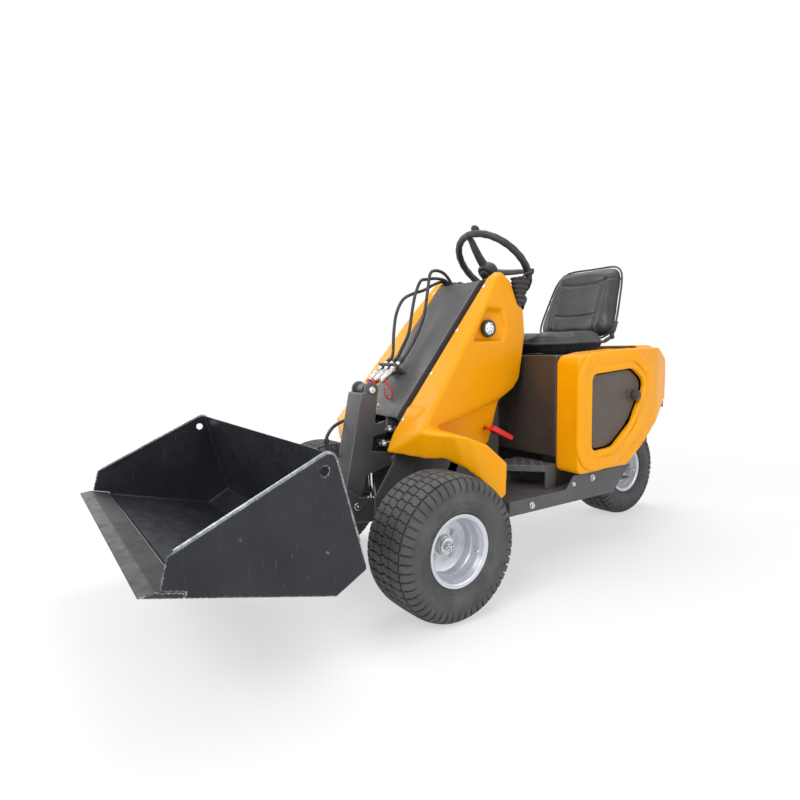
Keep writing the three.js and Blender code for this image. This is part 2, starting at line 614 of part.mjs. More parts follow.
// ---------------------------------------------------------------- tower covers with their fenders
const COVER_INNER_X = TOWER_OUTER_X + SEAM;
const WORK_LIGHT = [392, 914];
const WORK_LIGHT_R = 33;
const LIGHT_FLOOR_X = 190;

// Corners [x, y, z] of the upper cover: the sloping front with its outer ridge, then the rear edge.
const UPPER_COVER = [
  [COVER_INNER_X, 441, 1113], [COVER_INNER_X, 478, 1136], [COVER_INNER_X, 536, 1112], [COVER_INNER_X, 600, 985],
  [COVER_INNER_X, 602, 894], [COVER_INNER_X, 572, 723], [COVER_INNER_X, 520, 683], [COVER_INNER_X, 30, 594],
  [186, 441, 1113], [182, 478, 1130], [180, 524, 1098], [226, 335, 979], [262, 155, 751], [290, 11, 569],
  [188, 590, 985], [190, 598, 894], [192, 566, 723], [196, 528, 683], [200, 455, 647], [250, 205, 592],
  [286, 14, 564],
];
// Corners of the lower cover, set in under the upper one.
const LOWER_COVER = [
  [COVER_INNER_X, -34, 488], [COVER_INNER_X, -4, 551], [COVER_INNER_X, 60, 640], [COVER_INNER_X, 470, 660],
  [COVER_INNER_X, 404, 480], [COVER_INNER_X, 240, 440], [158, -36, 487], [158, -7, 547], [236, 60, 640],
  [196, 452, 655], [190, 402, 480], [190, 240, 440],
];
// The light's recess: deep along its lower edge, running out at the top.
const LIGHT_RECESS = [
  [300, 262, 852], [300, 470, 852], [300, 520, 905], [300, 500, 1050], [300, 408, 1050],
  [LIGHT_FLOOR_X, 302, 872], [LIGHT_FLOOR_X, 446, 872], [LIGHT_FLOOR_X, 470, 915], [LIGHT_FLOOR_X, 450, 975],
  [LIGHT_FLOOR_X, 366, 975],
];
// Fender stations from the front face to the tip: outer x with its top and foot, then the inner edge.
const FENDER_STATIONS = [
  { outerX: 292, top: [9, 567], foot: [21, 478], innerX: 158, innerTop: [-7, 547], innerFoot: [-36, 487] },
  { outerX: 345, top: [42, 564], foot: [69, 479], innerX: 188, innerTop: [30, 594], innerFoot: [46, 486] },
  { outerX: 385, top: [70, 562], foot: [104, 458], innerX: 188, innerTop: [72, 584], innerFoot: [96, 462] },
  { outerX: 410, top: [112, 554], foot: [169, 404], innerX: 188, innerTop: [124, 566], innerFoot: [150, 420] },
  { outerX: 415, top: [186, 525], foot: [225, 342], innerX: 188, innerTop: [190, 532], innerFoot: [190, 390] },
  { outerX: 415, top: [275, 454], foot: [252, 331], innerX: 306, innerTop: [278, 460], innerFoot: [240, 336] },
  { outerX: 415, top: [277, 450], foot: [273, 345], innerX: 306, innerTop: [280, 448], innerFoot: [262, 340] },
];

const SHIFTS = [[-1, 0, 0], [0, 1, 0], [0, -1, 0], [0, 0, 1], [0, 0, -1]];

// The space inside a cover: its hull drawn in on every side but the inner one, which stays open.
function hollowOf(points, wall) {
  const reach = wall * 1.3;
  const whole = hull(points.map(([x, y, z]) => [x <= COVER_INNER_X ? x - 30 : x, y, z]));
  return SHIFTS.map((shift) => whole.translate(shift.map((part) => part * reach)))
    .reduce((left, moved) => left.intersect(moved), whole);
}

// A hull grown by a distance on every side.
function hullGrown(points, reach) {
  return hull(points.flatMap((point) => [...SHIFTS, [1, 0, 0]].map(
    (shift) => point.map((part, axis) => part + shift[axis] * reach))));
}

// The fender from its stations; the feet can be carried on along the face and the inner edge moved in.
function fenderRun(footReach, innerShift) {
  const onward = (top, foot) => [
    foot[0] + (foot[0] - top[0]) * footReach, foot[1] + (foot[1] - top[1]) * footReach];
  const corners = FENDER_STATIONS.map((st) => [
    [st.outerX, ...st.top], [st.outerX, ...onward(st.top, st.foot)],
    [st.innerX - innerShift, ...st.innerTop], [st.innerX - innerShift, ...onward(st.innerTop, st.innerFoot)],
  ]);
  return union(...corners.slice(1).map((station, i) => hull([...corners[i], ...station])));
}

function fenderHollow(wall) {
  const reach = wall * 1.3;
  const open = fenderRun(0.6, 24);
  return [[-1, 0, 0], [0, 2.2, 0], [0, -1, 0], [0, 0, -1]]
    .map((shift) => open.translate(shift.map((part) => part * reach)))
    .reduce((left, moved) => left.intersect(moved), open);
}

function towerCover(name, side) {
  const recess = hull(LIGHT_RECESS);
  const upperHollow = hollowOf(UPPER_COVER, COVER_WALL).subtract(hullGrown(LIGHT_RECESS, COVER_WALL * 1.3));
  const lowerHollow = hollowOf(LOWER_COVER, COVER_WALL);
  const solid = union(cut(hull(UPPER_COVER), recess), hull(LOWER_COVER), fenderRun(0, 0));
  const inside = box(0, COVER_INNER_X, -400, 900, 0, 1400);
  const boot = hull(bootCorners(SEAM));
  const hollow = union(upperHollow, lowerHollow, fenderHollow(COVER_WALL));
  const slots = side > 0 ? [boot, pedalArm(SEAM)] : [];
  addNode(`${name}_cover`, mirrored(cut(solid, hollow, inside, ...slots), side), YELLOW);
  const light = cylinderX(WORK_LIGHT, WORK_LIGHT_R, LIGHT_FLOOR_X + SEAM, LIGHT_FLOOR_X + 18);
  addNode(`${name}_work_light`, mirrored(light, side), LENS);
}

// The control boot: a wedge that stands in a notch in the cover's rear edge.
function bootCorners(grow) {
  return [[560, 1008], [588, 1000], [612, 1052], [640, 1098], [630, 1112], [538, 1112], [530, 1100]].flatMap(
    ([y, z]) => [[150 - grow, y + Math.sign(y - 575) * grow, z + Math.sign(z - 1050) * grow],
      [200 + grow, y + Math.sign(y - 575) * grow, z + Math.sign(z - 1050) * grow]]);
}
SIDES.forEach(([name, side]) => towerCover(name, side));

// ---------------------------------------------------------------- dash, steering wheel, controls
function dash() {
  const body = prismX([
    [606, 985], [606, 1095, 10], [640, 1095, 14], [690, 1042, 14], [664, 1000, 14], [630, 980],
  ], -118, 118, 3);
  const rise = [Math.cos(STEER_RAKE), Math.sin(STEER_RAKE)];
  const normal = [rise[1], rise[0]];
  const at = (distance) => [0, STEER_CENTRE[0] - normal[0] * distance, STEER_CENTRE[1] - normal[1] * distance];
  const hubDrop = 26;
  const column = union(
    cylinderBetween(at(hubDrop + 12 + SEAM), at(hubDrop + 38), 24),
    hull([-1, 1].flatMap((k) => [
      [30 * k, 568, 1142], [30 * k, 586, 1124], [50 * k, 608, 1060], [50 * k, 650, 1060], [50 * k, 650, 1082],
      [30 * k, 590, 1134],
    ])));
  const reach = TOWER_PLATE_X - SEAM;
  const cross = box(-reach, reach, 580, 612, 990, 1034);
  addNode('dash', union(body, column, cross), PLASTIC);
  const ring = turnedX(Array.from({ length: 8 }, (_, i) => {
    const angle = (2 * Math.PI * i) / 8;
    return [STEER_RING_R + STEER_TUBE_R * Math.cos(angle), STEER_TUBE_R * Math.sin(angle)];
  }), 32);
  const spokes = [-8, 112, 232].map((degrees) => {
    const angle = THREE.MathUtils.degToRad(degrees);
    const end = [0, STEER_RING_R * Math.cos(angle), STEER_RING_R * Math.sin(angle)];
    return cylinderBetween([-hubDrop, end[1] * 0.12, end[2] * 0.12], end, 11, 10);
  });
  const hub = cylinderX([0, 0], 42, -hubDrop - 12, -hubDrop + 14);
  const knob = union(
    cylinderX([STEER_RING_R, 0], 9, 0, 22, 12),
    cylinderX([STEER_RING_R, 0], 19, 18, 40, 16));
  const wheel = union(ring, ...spokes, hub, knob);
  // Local X is the wheel's axis; it is laid on the raked column axis.
  const basis = new THREE.Matrix4().makeBasis(
    new THREE.Vector3(0, normal[0], normal[1]),
    new THREE.Vector3(0, -rise[0], rise[1]),
    new THREE.Vector3(1, 0, 0));
  const geometry = toGeometry(wheel).applyMatrix4(basis).translate(0, STEER_CENTRE[0], STEER_CENTRE[1]);
  addNode('steering_wheel', toSolid(geometry), RUBBER);
  addNode('control_boot', hull(bootCorners(0)), RUBBER);
  const lever = union(
    cylinderZ([206, 616], 6, 1112 + SEAM, 1150, 12), box(186, 212, 604, 628, 1112 + SEAM, 1120));
  addNode('control_lever', lever, PLASTIC);
  return at;
}
dash();

// ---------------------------------------------------------------- footwells
function footwell(name, side) {
  const step = union(
    prismZ([[160, 520], [250, 430], [352, 532], [352, 595], [160, 595]], 378, 402),
    box(160, 168, 540, 595, FLOOR_Z + SEAM, 380), box(344, 352, 540, 595, FLOOR_Z + SEAM, 380));
  addNode(`${name}_step`, mirrored(step, side), PLASTIC);
}
SIDES.forEach(([name, side]) => footwell(name, side));

// The pedal's arm, grown to make the slot in the cover that it comes out of.
function pedalArm(grow) {
  return box(COVER_INNER_X - grow, 240, 372 - grow, 384 + grow, 536 - grow, 546 + grow);
}

function redPedal() {
  const pad = prismX([[360, 540], [372, 556], [468, 508, 6], [462, 492, 6]], 232, 258, 3);
  addNode('red_pedal', union(pad, pedalArm(0)), RED);
}
redPedal();

// ---------------------------------------------------------------- seat base, seat, engine
function seatBase() {
  const [x, front, rear] = [SEAT_BASE_X, BODY_FRONT_Y, HOOD_FRONT_Y - SEAM];
  const shell = cut(
    box(-x, x, front, rear, FLOOR_Z + 110, DECK_Z),
    box(-x + BODY_WALL, x - BODY_WALL, front + BODY_WALL, rear + 10, FLOOR_Z - 10, DECK_Z - BODY_WALL));
  const legs = SIDES.map(([, side]) => mirrored(
    box(x - BODY_WALL, x, front, front + 60, FLOOR_Z + SEAM, FLOOR_Z + 112), side));
  addNode('seat_base', union(shell, ...legs), PLASTIC);
  addNode('engine_block', box(-190, 190, 700, 970, FLOOR_Z + SEAM, 690), CHARCOAL);
}
seatBase();

function seat() {
  const cushion = prismX([
    [655, 812 + SEAM + 8, 20], [655, 880, 30], [860, 892], [1120, 900, 30], [1130, 846, 20], [900, 812 + SEAM + 8],
  ], -SEAT_HALF_W, SEAT_HALF_W, 3);
  addNode('seat_cushion', cushion, VINYL);
  const back = prismX([
    [1150, 878, 16], [1112, 930, 16], [1236, 1214, 20], [1292, 1224, 20], [1205, 905, 16],
  ], -SEAT_HALF_W, SEAT_HALF_W, 3).intersect(prismY([
    [-214, 860], [214, 860], [214, 1040, 60], [192, 1228, 60], [-192, 1228, 60], [-214, 1040, 60],
  ], 1080, 1400, 3));
  addNode('seat_back', back, VINYL);
  const mount = union(
    box(-160, 160, 700, 1080, DECK_Z + SEAM, DECK_Z + 8),
    prismX([
      [1000, DECK_Z + SEAM], [1186, DECK_Z + SEAM], [1199, 868], [1214, 905], [1268, 1100], [1260, 1102],
      [1205.8, 905], [1190, 876], [1178, 840], [1172, DECK_Z + 8], [1000, DECK_Z + 8],
    ], -22, 22));
  addNode('seat_mount', mount, CHARCOAL);
}
seat();

// ---------------------------------------------------------------- rear body
const POD_INNER_X = SEAT_BASE_X + SEAM;
const TAIL_CENTRE_Y = 1000;
const TAIL_REACH = 520;

// Plan of the body: straight sides, then an elliptical tail; rows run round from the front right.
function bodyPlan(inset) {
  const [a, b] = [BODY_HALF_W - inset, TAIL_REACH - inset];
  const steps = 14;
  const tail = Array.from({ length: steps + 1 }, (_, i) => {
    const angle = (Math.PI * i) / steps;
    return [a * Math.cos(angle), TAIL_CENTRE_Y + b * Math.sin(angle)];
  });
  return [[a, BODY_FRONT_Y - 20], ...tail, [-a, BODY_FRONT_Y - 20]];
}

const POD_SIDE = [
  [BODY_FRONT_Y, 372, 26], [BODY_FRONT_Y, 806, 40], [700, 822, 40], [880, 833], [1140, 836, 60], [1280, 764, 40],
  [1284, 690, 50], [1196, 592, 60], [1050, 478, 60], [905, 378, 60],
];
const WINDOW = [
  [668, 454, 20], [668, 738, 20], [910, 756, 50], [996, 700, 40], [905, 545, 60], [790, 462, 40],
];
const BAND_W = 62;
const BAND_RISE = 7;
const DOOR_SET_BACK = 8;
const DOOR_FRONT_CORNER = 48;

const DOOR_PIN = [BODY_HALF_W - 8, 673];
const HINGE_R = 4;
const DOOR_PIN_Z = [510, 690];

function grown(rows, amount) {
  const centre = rows.reduce((sum, [y, z]) => [sum[0] + y / rows.length, sum[1] + z / rows.length], [0, 0]);
  return rows.map(([y, z, radius]) => {
    const [dy, dz] = [y - centre[0], z - centre[1]];
    const length = Math.hypot(dy, dz);
    return [y + (dy / length) * amount, z + (dz / length) * amount, radius];
  });
}

function pod(name, side) {
  const outer = prismX(POD_SIDE, POD_INNER_X, BODY_HALF_W + 10, 4).intersect(prismZ(bodyPlan(0), 300, 900));
  const inner = prismX(grown(POD_SIDE, -BODY_WALL * 1.6), POD_INNER_X - 10, BODY_HALF_W, 4)
    .intersect(prismZ(bodyPlan(BODY_WALL), 300, 900));
  const opening = prismX(WINDOW, BODY_HALF_W - 40, BODY_HALF_W + 40, 4);
  const [pinLow, pinHigh] = DOOR_PIN_Z;
  const knuckle = (z0, z1) => cut(
    union(cylinderZ(DOOR_PIN, HINGE_R, z0, z1, 16),
      box(DOOR_PIN[0] - 3, BODY_HALF_W - 1, WINDOW[0][0] - 8, WINDOW[0][0] + 1, z0, z1),
      box(DOOR_PIN[0] - 3, DOOR_PIN[0] + 3, WINDOW[0][0] - 8, DOOR_PIN[1], z0, z1)),
    cylinderZ(DOOR_PIN, 2 + PIN_FIT, z0 - 5, z1 + 5, 12));
  const band = cut(prismX(grown(WINDOW, BAND_W), BODY_HALF_W - 2, BODY_HALF_W + BAND_RISE, 4), opening);
  const shell = union(cut(outer, inner, opening), band.intersect(prismZ(bodyPlan(-BAND_RISE), 300, 900)));
  addNode(`${name}_pod`, mirrored(union(shell, knuckle(pinLow - 16, pinLow - SEAM),
    knuckle(pinHigh + SEAM, pinHigh + 16)), side), YELLOW);
  const relief = (z0, z1) => box(DOOR_PIN[0] - 10, DOOR_PIN[0] + 10, 660, DOOR_PIN[1] + HINGE_R + 2, z0, z1);
  const doorX = BODY_HALF_W - DOOR_SET_BACK;
  const doorOutline = grown(WINDOW, -7).map(([y, z, radius], i) => [y, z, i < 2 ? DOOR_FRONT_CORNER : radius]);
  const door = cut(prismX(doorOutline, doorX - 5, doorX, 4),
    relief(pinLow - 18, pinLow), relief(pinHigh, pinHigh + 18));
  const latch = cylinderX([926, 652], 20, doorX - 2, doorX + 30, 20);
  const hinge = union(
    cylinderZ(DOOR_PIN, HINGE_R, pinLow, pinHigh, 16), cylinderZ(DOOR_PIN, 2, pinLow - 14, pinHigh + 14, 12));
  addNode(`${name}_door`, mirrored(union(door, latch, hinge), side), PLASTIC);
}
SIDES.forEach(([name, side]) => pod(name, side));

function rearHood() {
  const gap = SEAT_BASE_X;
  const top = prismX([
    [HOOD_FRONT_Y, 848, 10], [1440, 848, 60], [1530, 760, 30], [1530, 600], [HOOD_FRONT_Y, 600],
  ], -gap, gap, 4).intersect(prismZ(bodyPlan(0), 300, 900));
  const hollow = prismX([
    [HOOD_FRONT_Y - 10, 842], [1437, 842, 56], [1524, 757, 26], [1524, 500], [HOOD_FRONT_Y - 10, 500],
  ], -gap + BODY_WALL, gap - BODY_WALL, 4).intersect(prismZ(bodyPlan(BODY_WALL), 300, 900));
  addNode('rear_hood', cut(top, hollow), YELLOW);
  const bumper = cut(
    prismZ(bodyPlan(6), REAR_DECK_Z + 50 + SEAM, 600 - SEAM), prismZ(bodyPlan(14), 400, 700), box(-500, 500, 500, 1280, 400, 700),
  ).intersect(box(-340, 340, 1280, 1600, 400, 700));
  addNode('rear_grille', bumper, CHARCOAL);
}
rearHood();

// ---------------------------------------------------------------- origin at the middle of the plan, on the ground
const bounds = new THREE.Box3().setFromObject(model);
model.position.y = -(bounds.min.y + bounds.max.y) / 2;
model.updateMatrixWorld(true);

export default model;
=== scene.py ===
import json
import math

import bmesh
import bpy
from mathutils import Matrix, Quaternion, Vector
from mathutils.bvhtree import BVHTree
from mathutils.kdtree import KDTree


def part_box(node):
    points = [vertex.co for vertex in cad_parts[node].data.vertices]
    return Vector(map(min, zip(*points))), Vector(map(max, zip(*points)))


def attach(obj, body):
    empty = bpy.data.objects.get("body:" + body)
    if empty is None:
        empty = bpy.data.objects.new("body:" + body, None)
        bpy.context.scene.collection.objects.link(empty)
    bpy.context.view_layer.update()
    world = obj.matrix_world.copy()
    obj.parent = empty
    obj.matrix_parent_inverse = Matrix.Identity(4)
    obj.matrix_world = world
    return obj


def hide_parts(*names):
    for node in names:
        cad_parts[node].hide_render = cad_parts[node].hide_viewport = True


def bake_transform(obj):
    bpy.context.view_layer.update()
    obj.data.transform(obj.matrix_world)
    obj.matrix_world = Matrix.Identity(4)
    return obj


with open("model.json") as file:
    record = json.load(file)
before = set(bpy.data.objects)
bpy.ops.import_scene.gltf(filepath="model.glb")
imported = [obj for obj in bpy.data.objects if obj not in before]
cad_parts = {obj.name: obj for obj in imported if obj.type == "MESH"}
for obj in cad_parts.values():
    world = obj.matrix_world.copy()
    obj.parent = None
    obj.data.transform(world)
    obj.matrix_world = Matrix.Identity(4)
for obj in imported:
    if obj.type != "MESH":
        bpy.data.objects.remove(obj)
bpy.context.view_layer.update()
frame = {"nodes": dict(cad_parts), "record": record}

RECORD = frame["record"]
SLOT = {part["node"]: part["material_slot"] for part in RECORD["subparts"]}
BODY = {node: body for body, nodes in RECORD["behaviour"]["bodies"].items() for node in nodes}
SHIFT_Y = -0.3830864
SIDES = (("left", 1), ("right", -1))


def at(x, y, z):
    """A point of the machine's layout (millimetres from the ground under the front axle) in the frame."""
    return Vector((x / 1000, y / 1000 + SHIFT_Y, z / 1000))


# ------------------------------------------------------------------ camera, light and background
CAMERA_AT = Vector((1.7694, -1.0929 + SHIFT_Y, 0.8305))
CAMERA_YAW, CAMERA_PITCH, CAMERA_ROLL = 0.968, -0.084, -0.013


def add_camera():
    data = bpy.data.cameras.new("camera")
    data.lens = 25.6
    data.sensor_width = 36.0
    camera = bpy.data.objects.new("camera", data)
    bpy.context.scene.collection.objects.link(camera)
    forward = Vector((-math.sin(CAMERA_YAW) * math.cos(CAMERA_PITCH),
            math.cos(CAMERA_YAW) * math.cos(CAMERA_PITCH), math.sin(CAMERA_PITCH)))
    camera.location = CAMERA_AT
    camera.rotation_mode = "QUATERNION"
    camera.rotation_quaternion = forward.to_track_quat("-Z", "Y") @ Quaternion((0, 0, 1), CAMERA_ROLL)
    bpy.context.scene.camera = camera


def area_light(name, place, target, size, power):
    data = bpy.data.lights.new(name, "AREA")
    data.shape = "RECTANGLE"
    data.size, data.size_y = size
    data.energy = power
    light = bpy.data.objects.new(name, data)
    light.location = place
    light.rotation_mode = "QUATERNION"
    light.rotation_quaternion = (Vector(target) - Vector(place)).to_track_quat("-Z", "Y")
    bpy.context.scene.collection.objects.link(light)


def new_node(tree, kind, *links, **props):
    """A shader node, with its inputs or settings from props and its links from (socket, source) pairs."""
    made = tree.nodes.new("ShaderNode" + kind)
    for key, value in props.items():
        if key in made.inputs:
            made.inputs[key].default_value = value
        else:
            setattr(made, key, value)
    for socket, source in links:
        tree.links.new(source, made.inputs[socket])
    return made


def map_range(tree, source, low, high, to_low=0.0, to_high=1.0, **props):
    made = new_node(tree, "MapRange", ("Value", source), **props)
    for key, value in (("From Min", low), ("From Max", high), ("To Min", to_low), ("To Max", to_high)):
        made.inputs[key].default_value = value
    return made.outputs["Result"]


def background_mix(tree, shader, near_share=1.0):
    """Mixes a shader with plain white for camera, glossy and transmission rays. near_share is the white's
    share close to the machine, from where it grows to all of it."""
    rays = new_node(tree, "LightPath").outputs
    kind = "Background" if shader.type == "BACKGROUND" else "Emission"
    white = new_node(tree, kind, Color=(1, 1, 1, 1), Strength=1.0)
    total = rays["Is Camera Ray"]
    for ray in ("Is Glossy Ray", "Is Transmission Ray"):
        total = new_node(tree, "Math", (0, total), (1, rays[ray]), operation="MAXIMUM").outputs[0]
    if near_share < 1:
        place = new_node(tree, "TexCoord").outputs["Object"]
        distance = new_node(tree, "VectorMath", (0, place), operation="LENGTH").outputs["Value"]
        share = map_range(tree, distance, 1.2, 3.4, near_share, 1.0, interpolation_type="SMOOTHSTEP")
        total = new_node(tree, "Math", (0, total), (1, share), operation="MULTIPLY").outputs[0]
    return new_node(tree, "MixShader", (0, total), (1, shader.outputs[0]), (2, white.outputs[0]))


def empty_tree(owner):
    owner.use_nodes = True
    owner.node_tree.nodes.clear()
    return owner.node_tree


def add_studio():
    scene = bpy.context.scene
    scene.view_settings.view_transform = "Standard"
    world = bpy.data.worlds.new("studio")
    scene.world = world
    tree = empty_tree(world)
    sky = new_node(tree, "Background", Color=(0.93, 0.96, 1.0, 1), Strength=0.55)
    new_node(tree, "OutputWorld", (0, background_mix(tree, sky).outputs[0]))
    area_light("key", (1.9, -3.9, 3.4), (0, -0.2, 0.5), (2.6, 2.0), 138)
    area_light("fill", (4.2, 1.6, 1.7), (0, 0.2, 0.5), (2.4, 2.0), 48)
    area_light("top", (-0.6, 0.6, 4.2), (0, 0, 0.5), (3.2, 2.4), 70)
    area_light("rim_side", (-3.6, -1.4, 2.2), (0, 0, 0.5), (2.0, 2.0), 45)
    mesh = bpy.data.meshes.new("floor")
    reach = 14.0
    corners = [(-reach, -reach, 0), (reach, -reach, 0), (reach, reach, 0), (-reach, reach, 0)]
    mesh.from_pydata(corners, [], [(0, 1, 2, 3)])
    floor = bpy.data.objects.new("floor", mesh)
    scene.collection.objects.link(floor)
    floor.location.z = -0.0006
    mat = bpy.data.materials.new("floor_white")
    tree = empty_tree(mat)
    diffuse = new_node(tree, "BsdfDiffuse", Color=(0.93, 0.93, 0.94, 1))
    new_node(tree, "OutputMaterial", (0, background_mix(tree, diffuse, 0.55).outputs[0]))
    mesh.materials.append(mat)


# ------------------------------------------------------------------ materials
class Shader:
    """A Principled material whose colour, roughness and bump come from procedural nodes."""

    def __init__(self, name, **fixed):
        self.mat = bpy.data.materials.new(name)
        self.mat.use_nodes = True
        self.tree = self.mat.node_tree
        self.bsdf = self.tree.nodes["Principled BSDF"]
        self.coords = self.tree.nodes.new("ShaderNodeTexCoord").outputs["Object"]
        self.normal = None
        for key, value in fixed.items():
            self.bsdf.inputs[key.replace("_", " ")].default_value = value

    def node(self, kind, *links, **props):
        return new_node(self.tree, kind, *links, **props)

    def noise(self, scale, detail=4.0, stretch=None, rough=0.6):
        source = self.coords
        if stretch:
            source = self.node("Mapping", ("Vector", source), Scale=stretch).outputs[0]
        made = self.node("TexNoise", ("Vector", source), Scale=scale, Detail=detail, Roughness=rough)
        return made.outputs["Fac"]

    def cells(self, scale):
        return self.node("TexVoronoi", ("Vector", self.coords), Scale=scale).outputs["Distance"]

    def remap(self, source, low, high, to_low=0.0, to_high=1.0):
        return map_range(self.tree, source, low, high, to_low, to_high)

    def patches(self, scale, detail, low, high, to_low=0.0, to_high=1.0):
        """Noise between low and high, spread over to_low to to_high."""
        return self.remap(self.noise(scale, detail), low, high, to_low, to_high)

    def math(self, operation, a, b):
        made = self.node("Math", operation=operation)
        for socket, value in ((0, a), (1, b)):
            if isinstance(value, (int, float)):
                made.inputs[socket].default_value = value
            else:
                self.tree.links.new(value, made.inputs[socket])
        return made.outputs[0]

    def mix(self, factor, a, b):
        made = self.node("Mix", data_type="RGBA")
        self.tree.links.new(factor, made.inputs["Factor"])
        for index, value in ((6, a), (7, b)):
            if isinstance(value, tuple):
                made.inputs[index].default_value = (*value, 1)
            else:
                self.tree.links.new(value, made.inputs[index])
        return made.outputs[2]

    def bump(self, height, strength, distance=0.001):
        made = self.node("Bump", ("Height", height), Strength=strength, Distance=distance)
        if self.normal is not None:
            self.tree.links.new(self.normal, made.inputs["Normal"])
        self.normal = made.outputs[0]
        self.tree.links.new(self.normal, self.bsdf.inputs["Normal"])

    def set(self, socket, source):
        self.tree.links.new(source, self.bsdf.inputs[socket])

    def colour(self, share, first, second):
        self.set("Base Color", self.mix(share, first, second))

    def roughness(self, scale, detail, low, high):
        self.set("Roughness", self.patches(scale, detail, 0.3, 0.7, low, high))


def paint_yellow():
    s = Shader("yellow_enamel", Coat_Weight=0.05, Coat_Roughness=0.12, IOR=1.45, Specular_IOR_Level=0.2)
    cloud = s.patches(3.2, 3.0, 0.35, 0.7)
    colour = s.mix(cloud, (0.87, 0.36, 0.0008), (0.82, 0.32, 0.0008))
    dust = s.patches(38, 6.0, 0.62, 0.8, 0.0, 0.16)
    s.colour(dust, colour, (0.62, 0.34, 0.08))
    s.roughness(24, 5.0, 0.27, 0.4)
    s.bump(s.noise(26, 2.0), 0.12, 0.0016)
    s.bump(s.noise(620, 2.0), 0.05, 0.0004)
    return s.mat


def coated_steel(name, base, lift, scratch, grain=0.10, rough=(0.36, 0.52)):
    s = Shader(name, IOR=1.45, Metallic=0.1, Specular_IOR_Level=0.35)
    cloud = s.patches(7, 5.0, 0.3, 0.72)
    colour = s.mix(cloud, base, lift)
    fine = s.noise(9, 3.0, (60.0, 2.0, 2.0))
    cross = s.noise(8, 3.0, (2.0, 70.0, 3.0))
    upright = s.noise(7, 4.0, (26.0, 26.0, 1.5))
    lines = s.math("MAXIMUM", s.remap(fine, 0.69, 0.75), s.remap(cross, 0.70, 0.76))
    lines = s.math("MAXIMUM", lines, s.remap(upright, 0.67, 0.75, 0.0, 0.7))
    patch = s.patches(5, 2.0, 0.45, 0.62)
    worn = s.math("MULTIPLY", s.math("MULTIPLY", lines, patch), scratch)
    s.colour(worn, colour, (0.34, 0.34, 0.35))
    s.roughness(30, 5.0, *rough)
    s.bump(s.noise(900, 2.0), grain, 0.0005)
    s.bump(s.noise(16, 3.0), 0.08, 0.002)
    return s.mat


# Chipped paint with bare steel showing. The bucket rims get more of the light chips, so there they are also a
# painted highlight along the rim.
def worn_edge(name, least, most):
    s = Shader(name, IOR=1.5)
    chips = s.remap(s.noise(42, 8.0, None, 0.7), least, most)
    s.colour(chips, (0.045, 0.05, 0.058), (0.36, 0.37, 0.39))
    s.set("Metallic", s.remap(chips, 0, 1, 0.1, 0.85))
    s.roughness(120, 4.0, 0.3, 0.55)
    s.bump(s.noise(130, 6.0), 0.25, 0.0008)
    return s.mat


def rubber(name, base, dusty, amount, grain, rough=(0.62, 0.85)):
    s = Shader(name, IOR=1.5, Specular_IOR_Level=0.4)
    dust = s.patches(14, 6.0, 0.38, 0.72, 0.0, amount)
    s.colour(dust, base, dusty)
    s.roughness(40, 4.0, *rough)
    s.bump(s.noise(grain, 3.0), 0.22, 0.0006)
    return s.mat


def braided_hose():
    s = Shader("braided_hose", IOR=1.5)
    weave = s.node("TexWave", ("Vector", s.coords), Scale=210, Distortion=2.0, Detail=1.0).outputs["Fac"]
    s.colour(s.patches(30, 4.0, 0.4, 0.7), (0.018, 0.018, 0.019), (0.05, 0.048, 0.046))
    s.set("Roughness", s.remap(weave, 0, 1, 0.42, 0.62))
    s.bump(weave, 0.35, 0.0006)
    return s.mat


def silver_paint():
    s = Shader("silver_rim_paint", Metallic=0.55, IOR=1.5, Coat_Weight=0.15, Coat_Roughness=0.2)
    grime = s.patches(16, 6.0, 0.52, 0.78, 0.0, 0.45)
    s.colour(grime, (0.60, 0.62, 0.655), (0.33, 0.33, 0.34))
    s.roughness(60, 4.0, 0.33, 0.5)
    s.bump(s.noise(1100, 2.0), 0.08, 0.0004)
    return s.mat


def vinyl():
    s = Shader("grained_vinyl", IOR=1.5, Sheen_Weight=0.08)
    s.colour(s.patches(11, 4.0, 0.35, 0.7), (0.020, 0.020, 0.022), (0.038, 0.037, 0.039))
    s.roughness(45, 4.0, 0.36, 0.5)
    s.bump(s.cells(620), 0.22, 0.0006)
    s.bump(s.noise(36, 3.0), 0.12, 0.0018)
    return s.mat


def moulded_plastic(name, base, lift, rough=(0.42, 0.58)):
    s = Shader(name, IOR=1.46)
    s.colour(s.patches(6, 5.0, 0.35, 0.7), base, lift)
    s.roughness(34, 5.0, *rough)
    s.bump(s.cells(900), 0.12, 0.0004)
    s.bump(s.noise(20, 2.0), 0.06, 0.0015)
    return s.mat


def bare_metal(name, base, darker, rough, metallic=1.0):
    s = Shader(name, Metallic=metallic)
    s.colour(s.patches(70, 6.0, 0.4, 0.7), base, darker)
    s.roughness(130, 5.0, rough, rough + 0.16)
    s.bump(s.noise(420, 3.0), 0.06, 0.0004)
    return s.mat


def lamp_lens():
    s = Shader("lamp_lens", Metallic=0.6, IOR=1.45)
    s.colour(s.remap(s.cells(150), 0.1, 0.7), (0.80, 0.82, 0.84), (0.45, 0.46, 0.48))
    s.roughness(90, 2.0, 0.08, 0.18)
    s.bump(s.cells(150), 0.5, 0.003)
    return s.mat


def red_plastic():
    s = Shader("red_moulding", IOR=1.5, Coat_Weight=0.2)
    s.colour(s.patches(20, 4.0, 0.4, 0.7), (0.72, 0.012, 0.012), (0.55, 0.01, 0.012))
    s.roughness(60, 4.0, 0.3, 0.45)
    s.bump(s.noise(500, 2.0), 0.06, 0.0004)
    return s.mat


